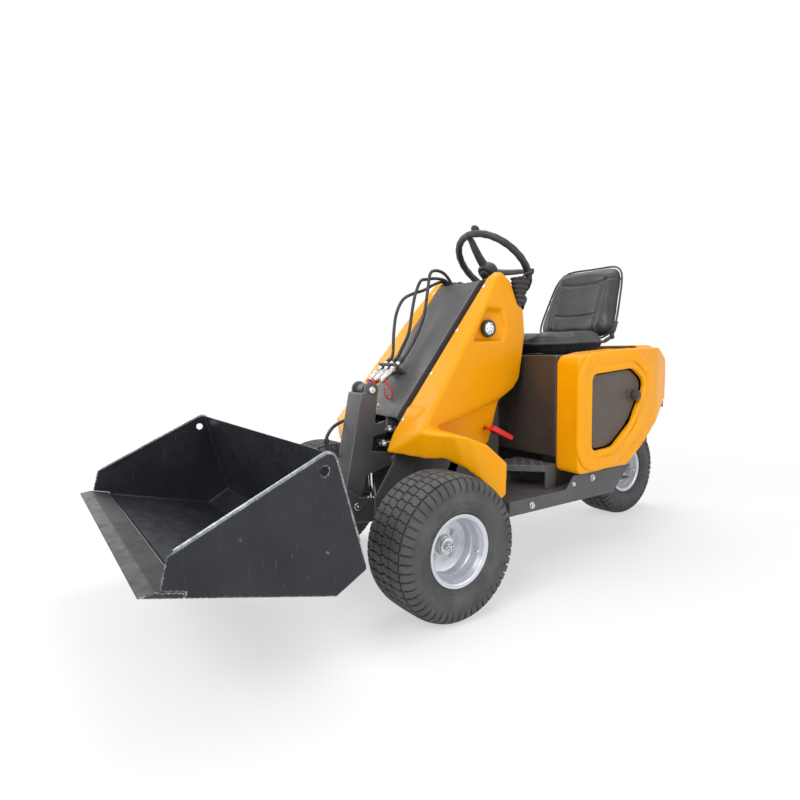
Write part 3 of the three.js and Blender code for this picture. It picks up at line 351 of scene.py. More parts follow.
MAT = {
    "yellow_paint": paint_yellow(),
    "charcoal_paint": coated_steel("charcoal_powder_coat", (0.078, 0.077, 0.080), (0.105, 0.103, 0.104), 0.6),
    "bucket_paint": coated_steel(
        "bucket_enamel", (0.015, 0.017, 0.021), (0.028, 0.030, 0.034), 0.9, 0.08, (0.28, 0.46)),
    "blade_paint": coated_steel(
        "blade_enamel", (0.020, 0.021, 0.024), (0.045, 0.046, 0.050), 0.8, 0.12, (0.5, 0.68)),
    "worn_edge": worn_edge("worn_edge_steel", 0.44, 0.62),
    # more light chips than on the bucket's own edges: edge wear, and a painted highlight along the bucket
    # rims
    "rim_wear_and_highlight": worn_edge("rim_steel_wear_and_highlight", 0.30, 0.62),
    "door_panel": moulded_plastic("door_panel", (0.088, 0.066, 0.052), (0.068, 0.052, 0.042), (0.38, 0.55)),
    "dark_moulding": moulded_plastic(
        "dark_moulding", (0.058, 0.044, 0.035), (0.036, 0.030, 0.026), (0.25, 0.42)),
    # lighter charcoal for the faces along the edges of the boom, leg and quick attach: a painted highlight,
    # with real scratches
    "charcoal_edge_highlight_and_wear": coated_steel(
        "charcoal_edge_highlight_and_wear", (0.11, 0.11, 0.115), (0.20, 0.20, 0.205), 0.9, 0.1, (0.3, 0.45)),
    "led": bare_metal("led_chips", (0.95, 0.93, 0.80), (0.85, 0.8, 0.6), 0.35, 0.0),
    "steel": bare_metal("zinc_steel", (0.66, 0.66, 0.65), (0.42, 0.42, 0.42), 0.26),
    "chrome": bare_metal("hard_chrome", (0.86, 0.87, 0.88), (0.74, 0.75, 0.76), 0.06),
    "brass": bare_metal("yellow_passivated", (0.78, 0.63, 0.36), (0.55, 0.42, 0.22), 0.25),
    "cast_iron": coated_steel(
        "engine_casting", (0.035, 0.035, 0.036), (0.06, 0.06, 0.06), 0.2, 0.5, (0.55, 0.75)),
    "tyre": rubber("tyre_rubber", (0.058, 0.057, 0.058), (0.12, 0.115, 0.11), 0.6, 260),
    "tread": rubber("tread_rubber", (0.048, 0.047, 0.047), (0.105, 0.099, 0.094), 0.7, 200),
    # near-black rubber for the carcass between the tread blocks: painted shade in the grooves
    "groove_shade": rubber("groove_rubber", (0.010, 0.010, 0.010), (0.02, 0.019, 0.018), 0.5, 260),
    "rim_paint": silver_paint(),
    "vinyl": vinyl(),
    "plastic": moulded_plastic("black_moulding", (0.034, 0.032, 0.031), (0.052, 0.048, 0.046)),
    "grip": moulded_plastic("wheel_grip", (0.022, 0.022, 0.023), (0.034, 0.034, 0.036), (0.45, 0.6)),
    "red_paint": red_plastic(),
    "lens": lamp_lens(),
    "hose_rubber": braided_hose(),
    "boot_rubber": rubber("boot_rubber", (0.035, 0.034, 0.035), (0.08, 0.076, 0.074), 0.4, 420, (0.5, 0.7)),
}


# ------------------------------------------------------------------ making pieces
def finish_piece(obj, body, slot_name, nodes):
    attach(obj, body)
    if nodes:
        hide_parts(*nodes)


def set_looks(mesh, looks):
    mesh.materials.clear()
    for look in looks:
        mesh.materials.append(MAT[look])


def link_mesh(name, mesh, looks):
    obj = bpy.data.objects.new(name, mesh)
    bpy.context.scene.collection.objects.link(obj)
    set_looks(mesh, looks)
    return obj


def voxel_remesh(obj, voxel):
    remesh = obj.modifiers.new("remesh", "REMESH")
    remesh.mode = "VOXEL"
    remesh.voxel_size = voxel


def shown_mesh(obj):
    """A new mesh that is what an object's modifiers show; the modifiers are removed."""
    mesh = bpy.data.meshes.new_from_object(obj.evaluated_get(bpy.context.evaluated_depsgraph_get()))
    obj.modifiers.clear()
    return mesh


SHARP = math.radians(32)
SPOT_SPACING = 0.003


def face_width(face):
    around = sum(edge.calc_length() for edge in face.edges)
    return 2 * face.calc_area() / around if around else 0


def bevel_room(edge, sharp, width):
    """The widest bevel that the faces and edges round an edge leave room for."""
    room = min(face_width(face) for face in edge.link_faces) * 0.42
    for vertex in edge.verts:
        along = (edge.other_vert(vertex).co - vertex.co).normalized()
        for other in vertex.link_edges:
            if other is edge:
                continue
            away = other.other_vert(vertex).co - vertex.co
            length = away.length
            turn = along.cross(away).length / length if length else 0
            if other in sharp:
                if along.dot(away) > -0.75 * length:
                    room = min(room, 0.42 * length * max(turn, 0.1))
                elif length < width:
                    room = min(room, 0.8 * length)
            elif turn > 0.02:
                room = min(room, 0.42 * length * turn)
    return room


def soften(obj, width, segments, smooth):
    """Rounds the edges of a mesh, less where there is little room beside an edge, and smooths its normals."""
    bm = bmesh.new()
    bm.from_mesh(obj.data)
    bmesh.ops.remove_doubles(bm, verts=bm.verts, dist=2e-6)
    bmesh.ops.dissolve_limit(bm, angle_limit=math.radians(0.4), verts=bm.verts, edges=bm.edges)
    weights = bm.edges.layers.float.get("bevel_weight_edge") or bm.edges.layers.float.new("bevel_weight_edge")
    sharp = {edge for edge in bm.edges if len(edge.link_faces) == 2 and edge.calc_face_angle(0) >= SHARP}
    for edge in sharp:
        edge[weights] = max(0.0, min(1.0, bevel_room(edge, sharp, width) / width))
    for face in bm.faces:
        face.smooth = True
    bm.to_mesh(obj.data)
    bm.free()
    obj.data.set_sharp_from_angle(angle=math.radians(smooth))
    bevel = obj.modifiers.new("edges", "BEVEL")
    bevel.limit_method = "WEIGHT"
    bevel.width = width
    bevel.segments = segments
    bevel.use_clamp_overlap = False
    bevel.loop_slide = False
    bevel.harden_normals = False
    even = obj.modifiers.new("even", "WEIGHTED_NORMAL")
    even.keep_sharp = True
    even.weight = 60


def sharp_places(mesh):
    """A tree of points along the convex sharp edges of a mesh."""
    bm = bmesh.new()
    bm.from_mesh(mesh)
    bmesh.ops.remove_doubles(bm, verts=bm.verts, dist=2e-6)
    spots = []
    for edge in bm.edges:
        if len(edge.link_faces) == 2 and edge.calc_face_angle_signed(0) > SHARP:
            p, q = (v.co.copy() for v in edge.verts)
            count = max(1, int((q - p).length / SPOT_SPACING))
            spots += [p.lerp(q, (k + 0.5) / count) for k in range(count)]
    bm.free()
    tree = KDTree(len(spots))
    for i, spot in enumerate(spots):
        tree.insert(spot, i)
    tree.balance()
    return tree


def moulded(node, voxel=0.0036, rounds=8, keep=0.3, looks=None, edge_wear_and_highlight=None, reach=0.003, shape=None):
    """A copy of a CAD node with softly rounded edges throughout. The edge material is given to the places
    within reach of the CAD's sharp edges: worn paint on the bucket and blade, and a lighter paint that is a
    painted highlight on the boom, leg and quick attach. shape(co) moves a vertex."""
    source = frame["nodes"][node].data
    looks = looks or [SLOT[node]]
    obj = link_mesh(node + "_shell", source.copy(), looks)
    voxel_remesh(obj, voxel)
    relax = obj.modifiers.new("relax", "SMOOTH")
    relax.factor, relax.iterations = 0.5, rounds
    obj.modifiers.new("thin", "DECIMATE").ratio = keep
    mesh = obj.data = shown_mesh(obj)
    set_looks(mesh, looks + ([edge_wear_and_highlight] if edge_wear_and_highlight else []))
    mesh.polygons.foreach_set("use_smooth", [True] * len(mesh.polygons))
    indexes = [0] * len(mesh.polygons)
    if edge_wear_and_highlight:
        tree = sharp_places(source)
        for i, polygon in enumerate(mesh.polygons):
            if tree.find(polygon.center)[2] < reach:
                indexes[i] = len(looks)
    mesh.polygons.foreach_set("material_index", indexes)
    if shape:
        for vertex in mesh.vertices:
            vertex.co = shape(vertex.co)
    finish_piece(obj, BODY[node], SLOT[node], [node])


def remodel(node, width=0.0016, segments=2, looks=None, pick=None, smooth=32):
    """A copy of a CAD node with rounded edges; pick(centre) chooses a material index for a face."""
    mesh = frame["nodes"][node].data.copy()
    obj = link_mesh(node + "_shell", mesh, looks or [SLOT[node]])
    before = sum(polygon.area for polygon in mesh.polygons)
    soften(obj, width, segments, smooth)
    rounded = obj.evaluated_get(bpy.context.evaluated_depsgraph_get()).to_mesh()
    if sum(polygon.area for polygon in rounded.polygons) > before * 1.004:
        obj.modifiers.remove(obj.modifiers["edges"])
    for polygon in mesh.polygons:
        polygon.material_index = pick(polygon.center) if pick else 0
    finish_piece(obj, BODY[node], SLOT[node], [node])


def round_x(angle):
    """The unit vector that is turned by an angle about the x axis, from the rear towards the top."""
    return Vector((0, math.cos(angle), math.sin(angle)))


def turn_to(axis):
    return Vector((0, 0, 1)).rotation_difference(Vector(axis).normalized()).to_matrix().to_4x4()


AXIS_R = 0.1


class Build:
    """Collects turned, swept and flat shapes into one mesh. Places are points of the frame, in metres, and
    radii and heights are in millimetres. A turned shape's end closes on its axis with the radius AXIS_R."""

    def __init__(self):
        self.bm = bmesh.new()

    def faces(self, verts, faces, mat=0, place=None):
        made = [self.bm.verts.new(place @ Vector(v) if place else v) for v in verts]
        for face in faces:
            try:
                self.bm.faces.new([made[i] for i in face]).material_index = mat
            except ValueError:
                pass

    def rings(self, verts, count, mat=0, loop=False, place=None):
        """Rings of count vertices joined by faces into a loop, or with a cap at each end."""
        total = len(verts) // count
        faces = []
        for i in range(total if loop else total - 1):
            j = (i + 1) % total
            for k in range(count):
                n = (k + 1) % count
                faces.append((i * count + k, i * count + n, j * count + n, j * count + k))
        if not loop:
            faces += [range(count)[::-1], range(len(verts) - count, len(verts))]
        self.faces(verts, faces, mat, place)

    def turned(self, rows, segments, place, axis=(0, 0, 1), mat=0, loop=False, phase=0.0):
        """Rows (radius, height along the axis) turned round the axis through a point."""
        turns = [phase + 2 * math.pi * k / segments for k in range(segments)]
        verts = [(radius / 1000 * math.cos(a), radius / 1000 * math.sin(a), height / 1000)
                for radius, height in rows for a in turns]
        self.rings(verts, segments, mat, loop, Matrix.Translation(place) @ turn_to(axis))

    def boss(self, rows, segments, place, axis=(0, 0, 1), mat=0, tip=None, phase=0.0):
        """Turned rows closed on the axis: flat at the first row, and at tip or flat at the last row."""
        ends = (AXIS_R, rows[0][1]), (AXIS_R, rows[-1][1] if tip is None else tip)
        self.turned([ends[0], *rows, ends[1]], segments, place, axis, mat, phase=phase)

    def swept(self, points, radius, sides=10, mat=0, closed=False, flat=1.0):
        """A round bar along points; radius may be a list, one for each point."""
        pts = [Vector(p) for p in points]
        count = len(pts)
        radii = radius if isinstance(radius, list) else [radius] * count
        verts, side = [], None
        for i, p in enumerate(pts):
            ahead = pts[(i + 1) % count] if closed or i < count - 1 else p
            behind = pts[i - 1] if closed or i > 0 else p
            along = (ahead - behind).normalized()
            if side is None:
                side = along.orthogonal().normalized()
            side = (side - along * side.dot(along)).normalized()
            other = along.cross(side)
            r = radii[i] / 1000
            for k in range(sides):
                a = 2 * math.pi * k / sides
                verts.append(p + side * (r * math.cos(a)) + other * (r * flat * math.sin(a)))
        self.rings(verts, sides, mat, closed)

    def bolt(self, place, axis, radius, height, mat=0, washer=True):
        """A hexagon head, on a washer if wanted."""
        axis, base = Vector(axis).normalized(), Vector(place)
        if washer:
            thick = radius * 0.26
            self.boss([(radius * 1.45, 0), (radius * 1.45, radius * 0.18), (radius * 1.3, thick)], 20, base,
                    axis, mat)
            base = base + axis * thick / 1000
        self.boss([(radius * 1.1, 0), (radius * 1.1, height * 0.85), (radius * 0.96, height)], 6, base,
                axis, mat)

    def dome(self, place, axis, radius, height, mat=0, segments=18):
        arc = [i * math.pi / 12 for i in range(6)]
        rows = [(radius * math.cos(a), height * math.sin(a)) for a in arc]
        self.boss(rows, segments, place, axis, mat, height)

    def piece_loose(self, name, looks, smooth=35):
        bmesh.ops.remove_doubles(self.bm, verts=self.bm.verts, dist=5e-6)
        bmesh.ops.recalc_face_normals(self.bm, faces=self.bm.faces)
        for face in self.bm.faces:
            face.smooth = True
        mesh = bpy.data.meshes.new(name)
        self.bm.to_mesh(mesh)
        self.bm.free()
        obj = link_mesh(name, mesh, looks)
        mesh.set_sharp_from_angle(angle=math.radians(smooth))
        return obj

    def piece(self, name, body, looks, slot_name, nodes=(), smooth=35):
        finish_piece(self.piece_loose(name, looks, smooth), body, slot_name, nodes)


def spline(points, per_span):
    """Points of a Catmull-Rom curve through the given points."""
    pts = [Vector(p) for p in points]
    count = len(pts)
    made = []
    for i in range(count - 1):
        p0, p1, p2, p3 = pts[max(i - 1, 0)], pts[i], pts[i + 1], pts[min(i + 2, count - 1)]
        for k in range(per_span):
            t = k / per_span
            made.append(0.5 * ((2 * p1) + (p2 - p0) * t + (2 * p0 - 5 * p1 + 4 * p2 - p3) * t * t
                    + (3 * p1 - p0 - 3 * p2 + p3) * t ** 3))
    return made + [pts[-1]]


# ------------------------------------------------------------------ wheels
TYRE_R = 228.6
TREAD_ROWS = 50
TREAD_HEIGHT = 7.0


def tread_line(half):
    """The carcass line (radius, x) from the middle of the tread to the sidewall."""
    return [(221.6, 0), (221.4, half * 0.3), (220.6, half - 48), (218.6, half - 34), (214.6, half - 23),
            (208.5, half - 14.5), (201, half - 9), (192, half - 5.2), (182, half - 2.8)]


def along_line(line, distance):
    """The point and outward normal (radius, x) at a distance along a line."""
    for (r0, x0), (r1, x1) in zip(line, line[1:]):
        span = math.hypot(r1 - r0, x1 - x0)
        if distance <= span:
            k = distance / span
            return (r0 + (r1 - r0) * k, x0 + (x1 - x0) * k), ((x1 - x0) / span, -(r1 - r0) / span)
        distance -= span
    return (r1, x1), ((x1 - x0) / span, -(r1 - r0) / span)


def tread_block(build, line, centre, side, theta, s0, s1, half_t, step, height, sidewall=False):
    """One tread block from s0 to s1 across the tread; its two halves are stepped round the tyre."""
    middle = (s0 + s1) / 2
    cuts = [(s0, 0.55, -1), (s0 + 1.6, 1, -1), (middle - 2, 1, -1), (middle + 2, 1, 1), (s1 - 1.6, 1, 1),
            (s1, 0.55, 1)]
    if sidewall:
        cuts = [(s0, 0.6, -1), (s0 + 1.6, 1, -1), (s0 + (s1 - s0) * 0.3, 1, -0.4),
                (s0 + (s1 - s0) * 0.5, 0.9, 0.2), (s0 + (s1 - s0) * 0.75, 0.55, 0.6), (s1, 0.12, 1)]
    verts = []
    for s, lift, lean in cuts:
        (r, x), (nr, nx) = along_line(line, abs(s))
        if s < 0:
            x, nx = -x, -nx
        x, nx = x * side, nx * side
        shift = lean * step / 2
        top = height * lift
        for t, h in ((-half_t, -1.5), (-half_t, top - 1.4), (-half_t + 1.5, top), (half_t - 1.5, top),
                (half_t, top - 1.4), (half_t, -1.5)):
            radius = min(r + nr * h, TYRE_R)
            a = theta + (t + shift) / 224.0
            verts.append((centre[0] + (x + nx * h) / 1000, centre[1] + radius / 1000 * math.cos(a),
                    centre[2] + radius / 1000 * math.sin(a)))
    build.rings(verts, 6, 1)


def tyre(node, half, hub_side):
    low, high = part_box(node)
    centre = (low + high) / 2
    line = tread_line(half)
    lip = half - 20
    side = line + [(170, half - 1.4), (163, half - 0.6), (161, half), (156, half), (154, half - 1),
            (142, half - 3.5), (132, half - 8), (128, half - 10.5), (126.5, half - 9.2), (122.5, half - 10),
            (120.5, half - 13), (117.6, lip + 4.5), (115.2, lip + 0.8), (110, lip - 0.5), (104.3, lip - 1)]
    rows = [(r, -x) for r, x in side[::-1]] + side[1:] + [(112.5, lip - 8), (112.5, 8 - lip)]
    build = Build()
    build.turned(rows, 120, centre, (1, 0, 0), 0, True)
    total = sum(math.hypot(b[0] - a[0], b[1] - a[1]) for a, b in zip(line[:5], line[1:5]))
    column = (total - 4) / 2
    pitch = 2 * math.pi / TREAD_ROWS
    for k in range(TREAD_ROWS):
        for c, s0 in enumerate((-2 * column, -column, 0, column)):
            tread_block(build, line, centre, hub_side, (k + 0.12 * (c % 2)) * pitch, s0 + 2.2,
                    s0 + column - 2.2, 11.8, 4.0, TREAD_HEIGHT)
        for edge in (-1, 1):
            start = 2 * column + 2.2
            tread_block(build, line, centre, hub_side * edge, (k + 0.3) * pitch, start, start + 46, 11.2,
                    3.0 * edge, TREAD_HEIGHT, True)
    # The carcass faces between the tread blocks get the near-black groove rubber: painted shade.
    for face in build.bm.faces:
        middle = face.calc_center_median() - centre
        if face.material_index == 0 and math.hypot(middle.y, middle.z) > 0.196:
            face.material_index = 2
    looks = ["tyre", "tread", "groove_shade"]
    return build.piece(node + "_turf", BODY[node], looks, "tyre", [node], 30)


def rim(node, half, disc, hub_side):
    low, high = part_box(node)
    centre = (low + high) / 2
    lip = half - 20 + 0.3
    bead = [(104, 2.5), (106.5, 5.4), (110, 6), (113, 5.6), (114.3, 3.8), (114.2, 1.6), (112, 0.4),
            (103.6, 0), (101.8, -8)]
    rows = [(31.5, disc), (31.5, disc + 6), (46, disc + 6), (49, disc + 4.6), (66, disc + 4.6),
            (70, disc + 6.2), (78, disc + 6.4), (84, disc + 9), (86.5, disc + 14), (87.5, disc + 30),
            (90.5, disc + 35), (92.5, disc + 38), (93.5, lip - 22), (94.5, lip - 14), (97.5, lip - 10),
            (98.5, lip - 3), (100.5, lip + 1), *((r, lip + x) for r, x in bead), (99, lip - 16),
            (97.5, disc + 26), (97.5, 16 - lip), *((r, -lip - x) for r, x in bead[::-1]), (98, 4 - lip),
            (95.5, 20 - lip), (92.5, disc - 10), (86, disc - 2), (78, disc)]
    build = Build()
    axis = (hub_side, 0, 0)
    build.turned(rows, 96, centre, axis, 0, True)
    out = Vector(axis)
    face = centre + out * (disc + 6) / 1000
    for k in range(4):
        a = math.radians(41 + 90 * k)
        spot = face + round_x(a) * 0.0485
        build.boss([(12.5, -1.2), (11.5, 2)], 20, spot, axis, 1)
        build.bolt(spot + out * 0.002, axis, 8.2, 8.5, 1, False)
        build.dome(spot + out * 0.0105, axis, 4.5, 4, 1, 12)
    a = math.radians(-12)
    stem = centre + round_x(a) * 0.0865 + out * (lip - 24) / 1000
    inward = Vector((0, -math.cos(a), -math.sin(a)))
    lean = (out * 0.9 + inward * 0.45).normalized()
    build.boss([(6.2, -4), (5.2, 4), (3.8, 8), (3.6, 22), (4.4, 23), (4.4, 32)], 14, stem, lean, 2, tip=33)
    return build.piece(node + "_wheel", BODY[node], ["rim_paint", "steel", "grip"], "rim_paint", [node])


def hub(node, hub_side):
    """The hub is its CAD shape with rounded edges; its end gets a washer, a castle nut and a dust cap."""
    remodel(node, 0.0012)
    low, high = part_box(node)
    centre = (low + high) / 2
    tip = Vector((high.x if hub_side > 0 else low.x, centre.y, centre.z))
    build = Build()
    axis = (hub_side, 0, 0)
    build.boss([(26, 0.2), (27.5, 2), (26.5, 5), (20, 6.2)], 32, tip, axis)
    out = Vector(axis)
    build.boss([(16.5, 0), (16.5, 9), (14.8, 10.5)], 6, tip + out * 0.0062, axis, 1)
    for k in range(6):
        a = math.pi * k / 3 + 0.5
        spot = tip + out * 0.0167 + round_x(a) * 0.0118
        build.boss([(3.6, 0), (3.2, 4)], 8, spot, axis, 1)
    build.dome(tip + out * 0.0167, axis, 7, 6, 0, 14)
    build.piece(node + "_nut", BODY[node], ["steel", "grip"], "steel")


def wheels():
    for name, side in SIDES:
        tyre(f"front_{name}_tyre", 106, side)
        rim(f"front_{name}_rim", 106, 4, side)
        hub(f"{name}_wheel_hub", side)
    tyre("rear_tyre", 95, 1)
    rim("rear_rim", 95, 20, 1)
    hub("rear_hub", 1)


# ------------------------------------------------------------------ steering wheel and controls
STEER_CENTRE = (606, 1187)
STEER_RADIUS = 0.166
STEER_RAKE = math.radians(43.8)


def steering_wheel():
    normal = Vector((0, math.sin(STEER_RAKE), math.cos(STEER_RAKE)))
    up = Vector((0, -math.cos(STEER_RAKE), math.sin(STEER_RAKE)))
    across = Vector((1, 0, 0))
    centre = at(0, *STEER_CENTRE)

    def spot(radius, degrees, lift=0.0):
        a = math.radians(degrees)
        return centre + (up * math.cos(a) + across * math.sin(a)) * radius + normal * lift

    build = Build()
    steps = 144
    ring = [spot(STEER_RADIUS, 360 * k / steps) for k in range(steps)]
    radii = [14.8 if (k // 3) % 2 else 13.9 for k in range(steps)]
    build.swept(ring, radii, 14, 0, True)
    for degrees in (-8, 112, 232):
        points = [spot(0.026, degrees, -0.034), spot(0.06, degrees, -0.029), spot(0.11, degrees, -0.014),
                spot(0.140, degrees, -0.003), spot(0.164, degrees, 0.0)]
        build.swept(spline(points, 4), [18.5 - 0.5 * k for k in range(17)], 14, 0, False, 0.55)
    hub_base = centre - normal * 0.058
    build.boss([(36, 0), (41.5, 6), (41.8, 22), (39, 34), (33, 43), (22, 49)], 48, hub_base, normal, tip=51)
    build.boss([(26.5, 0), (26.5, 1.2)], 40, hub_base + normal * 0.0475, normal, 1, tip=1.6)
    build.boss([(18, 0), (20, 2), (20, 12)], 32, hub_base - normal * 0.011, normal, tip=13)
    knob = spot(STEER_RADIUS, 0, 0.012)
    build.boss([(8, 0), (8, 7), (15, 10), (18.8, 16), (18.6, 22), (14, 27.5)], 28, knob, normal, tip=28.5)
    build.piece("steering_rim", "steering_wheel", ["grip", "plastic"], "plastic", ["steering_wheel"])


def control_boot():
    """The rubber bellows in the cover's notch, and the lever that comes out of it."""
    low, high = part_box("control_boot")
    cx = (low.x + high.x) / 2
    foot, head = Vector((cx, at(0, 574, 0).y, 1.004)), Vector((cx, at(0, 586, 0).y, 1.110))
    build = Build()
    height = (head - foot).length * 1000
    rows, folds = [], 6
    for i in range(folds * 4 + 1):
        k = i / (folds * 4)
        rows.append((13.5 + 24.5 * k + 2.8 * math.cos(2 * math.pi * folds * k), height * k))
    build.boss(rows + [(20, height + 4)], 36, foot, head - foot, tip=height + 6)
    build.piece("boot_bellows", "chassis", ["boot_rubber"], "hose_rubber", ["control_boot"], 60)
    stalk = Build()
    start = head + Vector((0.004, 0.0, 0.0))
    tip = at(204, 618, 1150)
    way = spline([start, start.lerp(tip, 0.5) + Vector((0.004, -0.004, 0)), tip - Vector((0, 0, 0.016))], 6)
    stalk.swept(way, 4.8, 12, 1)
    stalk.boss([(6, 0), (8.5, 6), (9.2, 14), (7, 21)], 20, tip - Vector((0, 0, 0.022)), (0, 0.1, 1),
            tip=22.5)
    stalk.boss([(11, 0), (12, 3), (9, 9)], 18, head, (0, 0.2, 1), 1, tip=10)
    stalk.bolt(at(198, 608, 1114), (1, 0, 0), 5, 4, 1)
    stalk.piece("control_stalk", "chassis", ["grip", "steel"], "plastic", ["control_lever"])


# ------------------------------------------------------------------ seat
PAD_VOXEL, PAD_PRESSURE, SMOOTH_ROUNDS = 0.0056, 4.0, 4
CLOTH_FRAMES = 20
SEAM_WIDTH = 0.0062


def grid_solid(name, across, along, point):
    """A closed mesh from point(u, v, side) with u and v from -1 to 1 and side +1 in front, -1 behind."""
    bm = bmesh.new()
    sheets = []
    for side in (1, -1):
        rows = [[bm.verts.new(point(-1 + 2 * i / across, -1 + 2 * j / along, side))
                for i in range(across + 1)] for j in range(along + 1)]
        for j in range(along):
            for i in range(across):
                quad = [rows[j][i], rows[j][i + 1], rows[j + 1][i + 1], rows[j + 1][i]]
                bm.faces.new(quad if side > 0 else quad[::-1])
        sheets.append(rows)
    front, back = sheets

    def border(rows):
        return ([rows[0][i] for i in range(across)] + [rows[j][across] for j in range(along)]
                + [rows[along][i] for i in range(across, 0, -1)]
                + [rows[j][0] for j in range(along, 0, -1)])

    a, b = border(front), border(back)
    for i in range(len(a)):
        n = (i + 1) % len(a)
        bm.faces.new([a[n], a[i], b[i], b[n]])
    bmesh.ops.recalc_face_normals(bm, faces=bm.faces)
    mesh = bpy.data.meshes.new(name)
    bm.to_mesh(mesh)
    bm.free()
    return mesh


def superellipse(u, v, power):
    """Maps the square onto a rounded rectangle."""
    if abs(u) < 1e-9 and abs(v) < 1e-9:
        return 0.0, 0.0
    top = max(abs(u), abs(v))
    norm = (abs(u) ** power + abs(v) ** power) ** (1 / power)
    return u * top / norm, v * top / norm


def rounded_loop(steps, power):
    """Points (u, v) round the border of that rounded rectangle."""
    points = []
    for k in range(steps):
        a = 2 * math.pi * k / steps
        c, s = math.cos(a), math.sin(a)
        n = (abs(c) ** power + abs(s) ** power) ** (1 / power)
        points.append((c / n, s / n))
    return points


def inflate(obj, cap):
    """Voxel remesh, a short cloth simulation under pressure, and the movement capped."""
    scene = bpy.context.scene
    voxel_remesh(obj, PAD_VOXEL)
    mesh = obj.data = shown_mesh(obj)
    before = [v.co.copy() for v in mesh.vertices]
    cloth = obj.modifiers.new("cloth", "CLOTH")
    cloth.settings.use_pressure = True
    cloth.settings.uniform_pressure_force = PAD_PRESSURE
    cloth.settings.effector_weights.gravity = 0
    cloth.settings.quality = 4
    cloth.collision_settings.use_collision = False
    for number in range(1, CLOTH_FRAMES + 1):
        scene.frame_set(number)
    moved = shown_mesh(obj)
    for vertex, old, new in zip(mesh.vertices, before, moved.vertices):
        step = new.co - old
        if step.length > cap:
            step *= cap / step.length
        vertex.co = old + step
    bpy.data.meshes.remove(moved)
    scene.frame_set(1)


def press_seams(mesh, seams, depth, to_plane):
    """Presses the mesh in along seams, which are lines in the plane that to_plane maps a vertex to."""
    for vertex in mesh.vertices:
        place = to_plane(vertex.co)
        if place is None:
            continue
        u, v, inward = place
        near = min((seam_distance(u, v, seam) for seam in seams), default=1.0)
        drop = depth * math.exp(-(near / SEAM_WIDTH) ** 2)
        vertex.co += inward * drop


def seam_distance(u, v, seam):
    best = 1.0
    for (a, b), (c, d) in zip(seam, seam[1:]):
        du, dv = c - a, d - b
        k = max(0.0, min(1.0, ((u - a) * du + (v - b) * dv) / (du * du + dv * dv)))
        best = min(best, math.hypot(u - a - k * du, v - b - k * dv))
    return best


def smooth_mesh(mesh):
    bm = bmesh.new()
    bm.from_mesh(mesh)
    for _ in range(SMOOTH_ROUNDS):
        bmesh.ops.smooth_vert(bm, verts=bm.verts, factor=0.5, use_axis_x=True, use_axis_y=True,
                use_axis_z=True)
    for face in bm.faces:
        face.smooth = True
    bm.to_mesh(mesh)
    bm.free()


BACK_FOOT, BACK_HEAD = (1130, 876), (1268, 1220)


def seat_back():
    """The backrest: a head roll above a V seam, two side bolsters and a centre panel with a sewn channel."""
    foot, head = at(0, *BACK_FOOT), at(0, *BACK_HEAD)
    up = (head - foot).normalized()
    out = Vector((0, -up.z, up.y))
    length = (head - foot).length

    def half_width(v):
        return 0.226 - 0.040 * v - 0.008 * v * v

    def point(u, v, side):
        su, sv = superellipse(u, v, 5.0)
        h = (sv + 1) / 2
        edge = max(abs(u), abs(v))
        round_off = math.sqrt(max(0.0, 1 - edge ** 6))
        bolster = 0.012 * math.exp(-((abs(su) - 0.72) / 0.22) ** 2) * (1 if h < 0.86 else 0.4)
        roll = 0.010 * math.exp(-((h - 0.9) / 0.12) ** 2)
        front = (0.026 + bolster + roll + 0.010 * (1 - su * su)) * round_off
        rear = -(0.020 + 0.008 * (1 - su * su)) * round_off
        wrap = 0.018 * su * su
        depth = front if side > 0 else rear
        return foot + up * (length * h) + Vector((su * half_width(h), 0, 0)) + out * (depth + wrap - 0.008)

    mesh = grid_solid("backrest", 24, 28, point)
    obj = link_mesh("backrest_pad", mesh, ["vinyl"])
    inflate(obj, 0.009)
    smooth_mesh(obj.data)

    def to_plane(co):
        rel = co - foot
        if out.dot(rel) < 0.004:
            return None
        return rel.x, rel.dot(up), -out

    w, l = 0.118, length
    seams = [
        [(-0.20, l * 0.83), (-w, l * 0.735), (-w * 0.5, l * 0.722),
         (w * 0.5, l * 0.722), (w, l * 0.735), (0.20, l * 0.83)],
        [(-w, l * 0.735), (-w - 0.006, l * 0.3), (-w, 0.01)],
        [(w, l * 0.735), (w + 0.006, l * 0.3), (w, 0.01)],
        [(-w, l * 0.30), (-0.03, l * 0.285), (0.03, l * 0.285), (w, l * 0.30)],
    ]
    press_seams(obj.data, seams, 0.0075, to_plane)
    set_looks(obj.data, ["vinyl"])
    finish_piece(obj, "chassis", "vinyl", ["seat_back"])
    shell = Build()
    outline = []
    for u, v in rounded_loop(48, 5):
        h = (v + 1) / 2
        outline.append(foot + up * (length * (0.004 + 0.992 * h))
                + Vector((u * (half_width(h) + 0.001), 0, 0)) + out * (0.018 * u * u - 0.006))
    shell.swept(outline, 4.5, 8, 0, True)
    shell.piece("backrest_piping", "chassis", ["vinyl"], "vinyl")


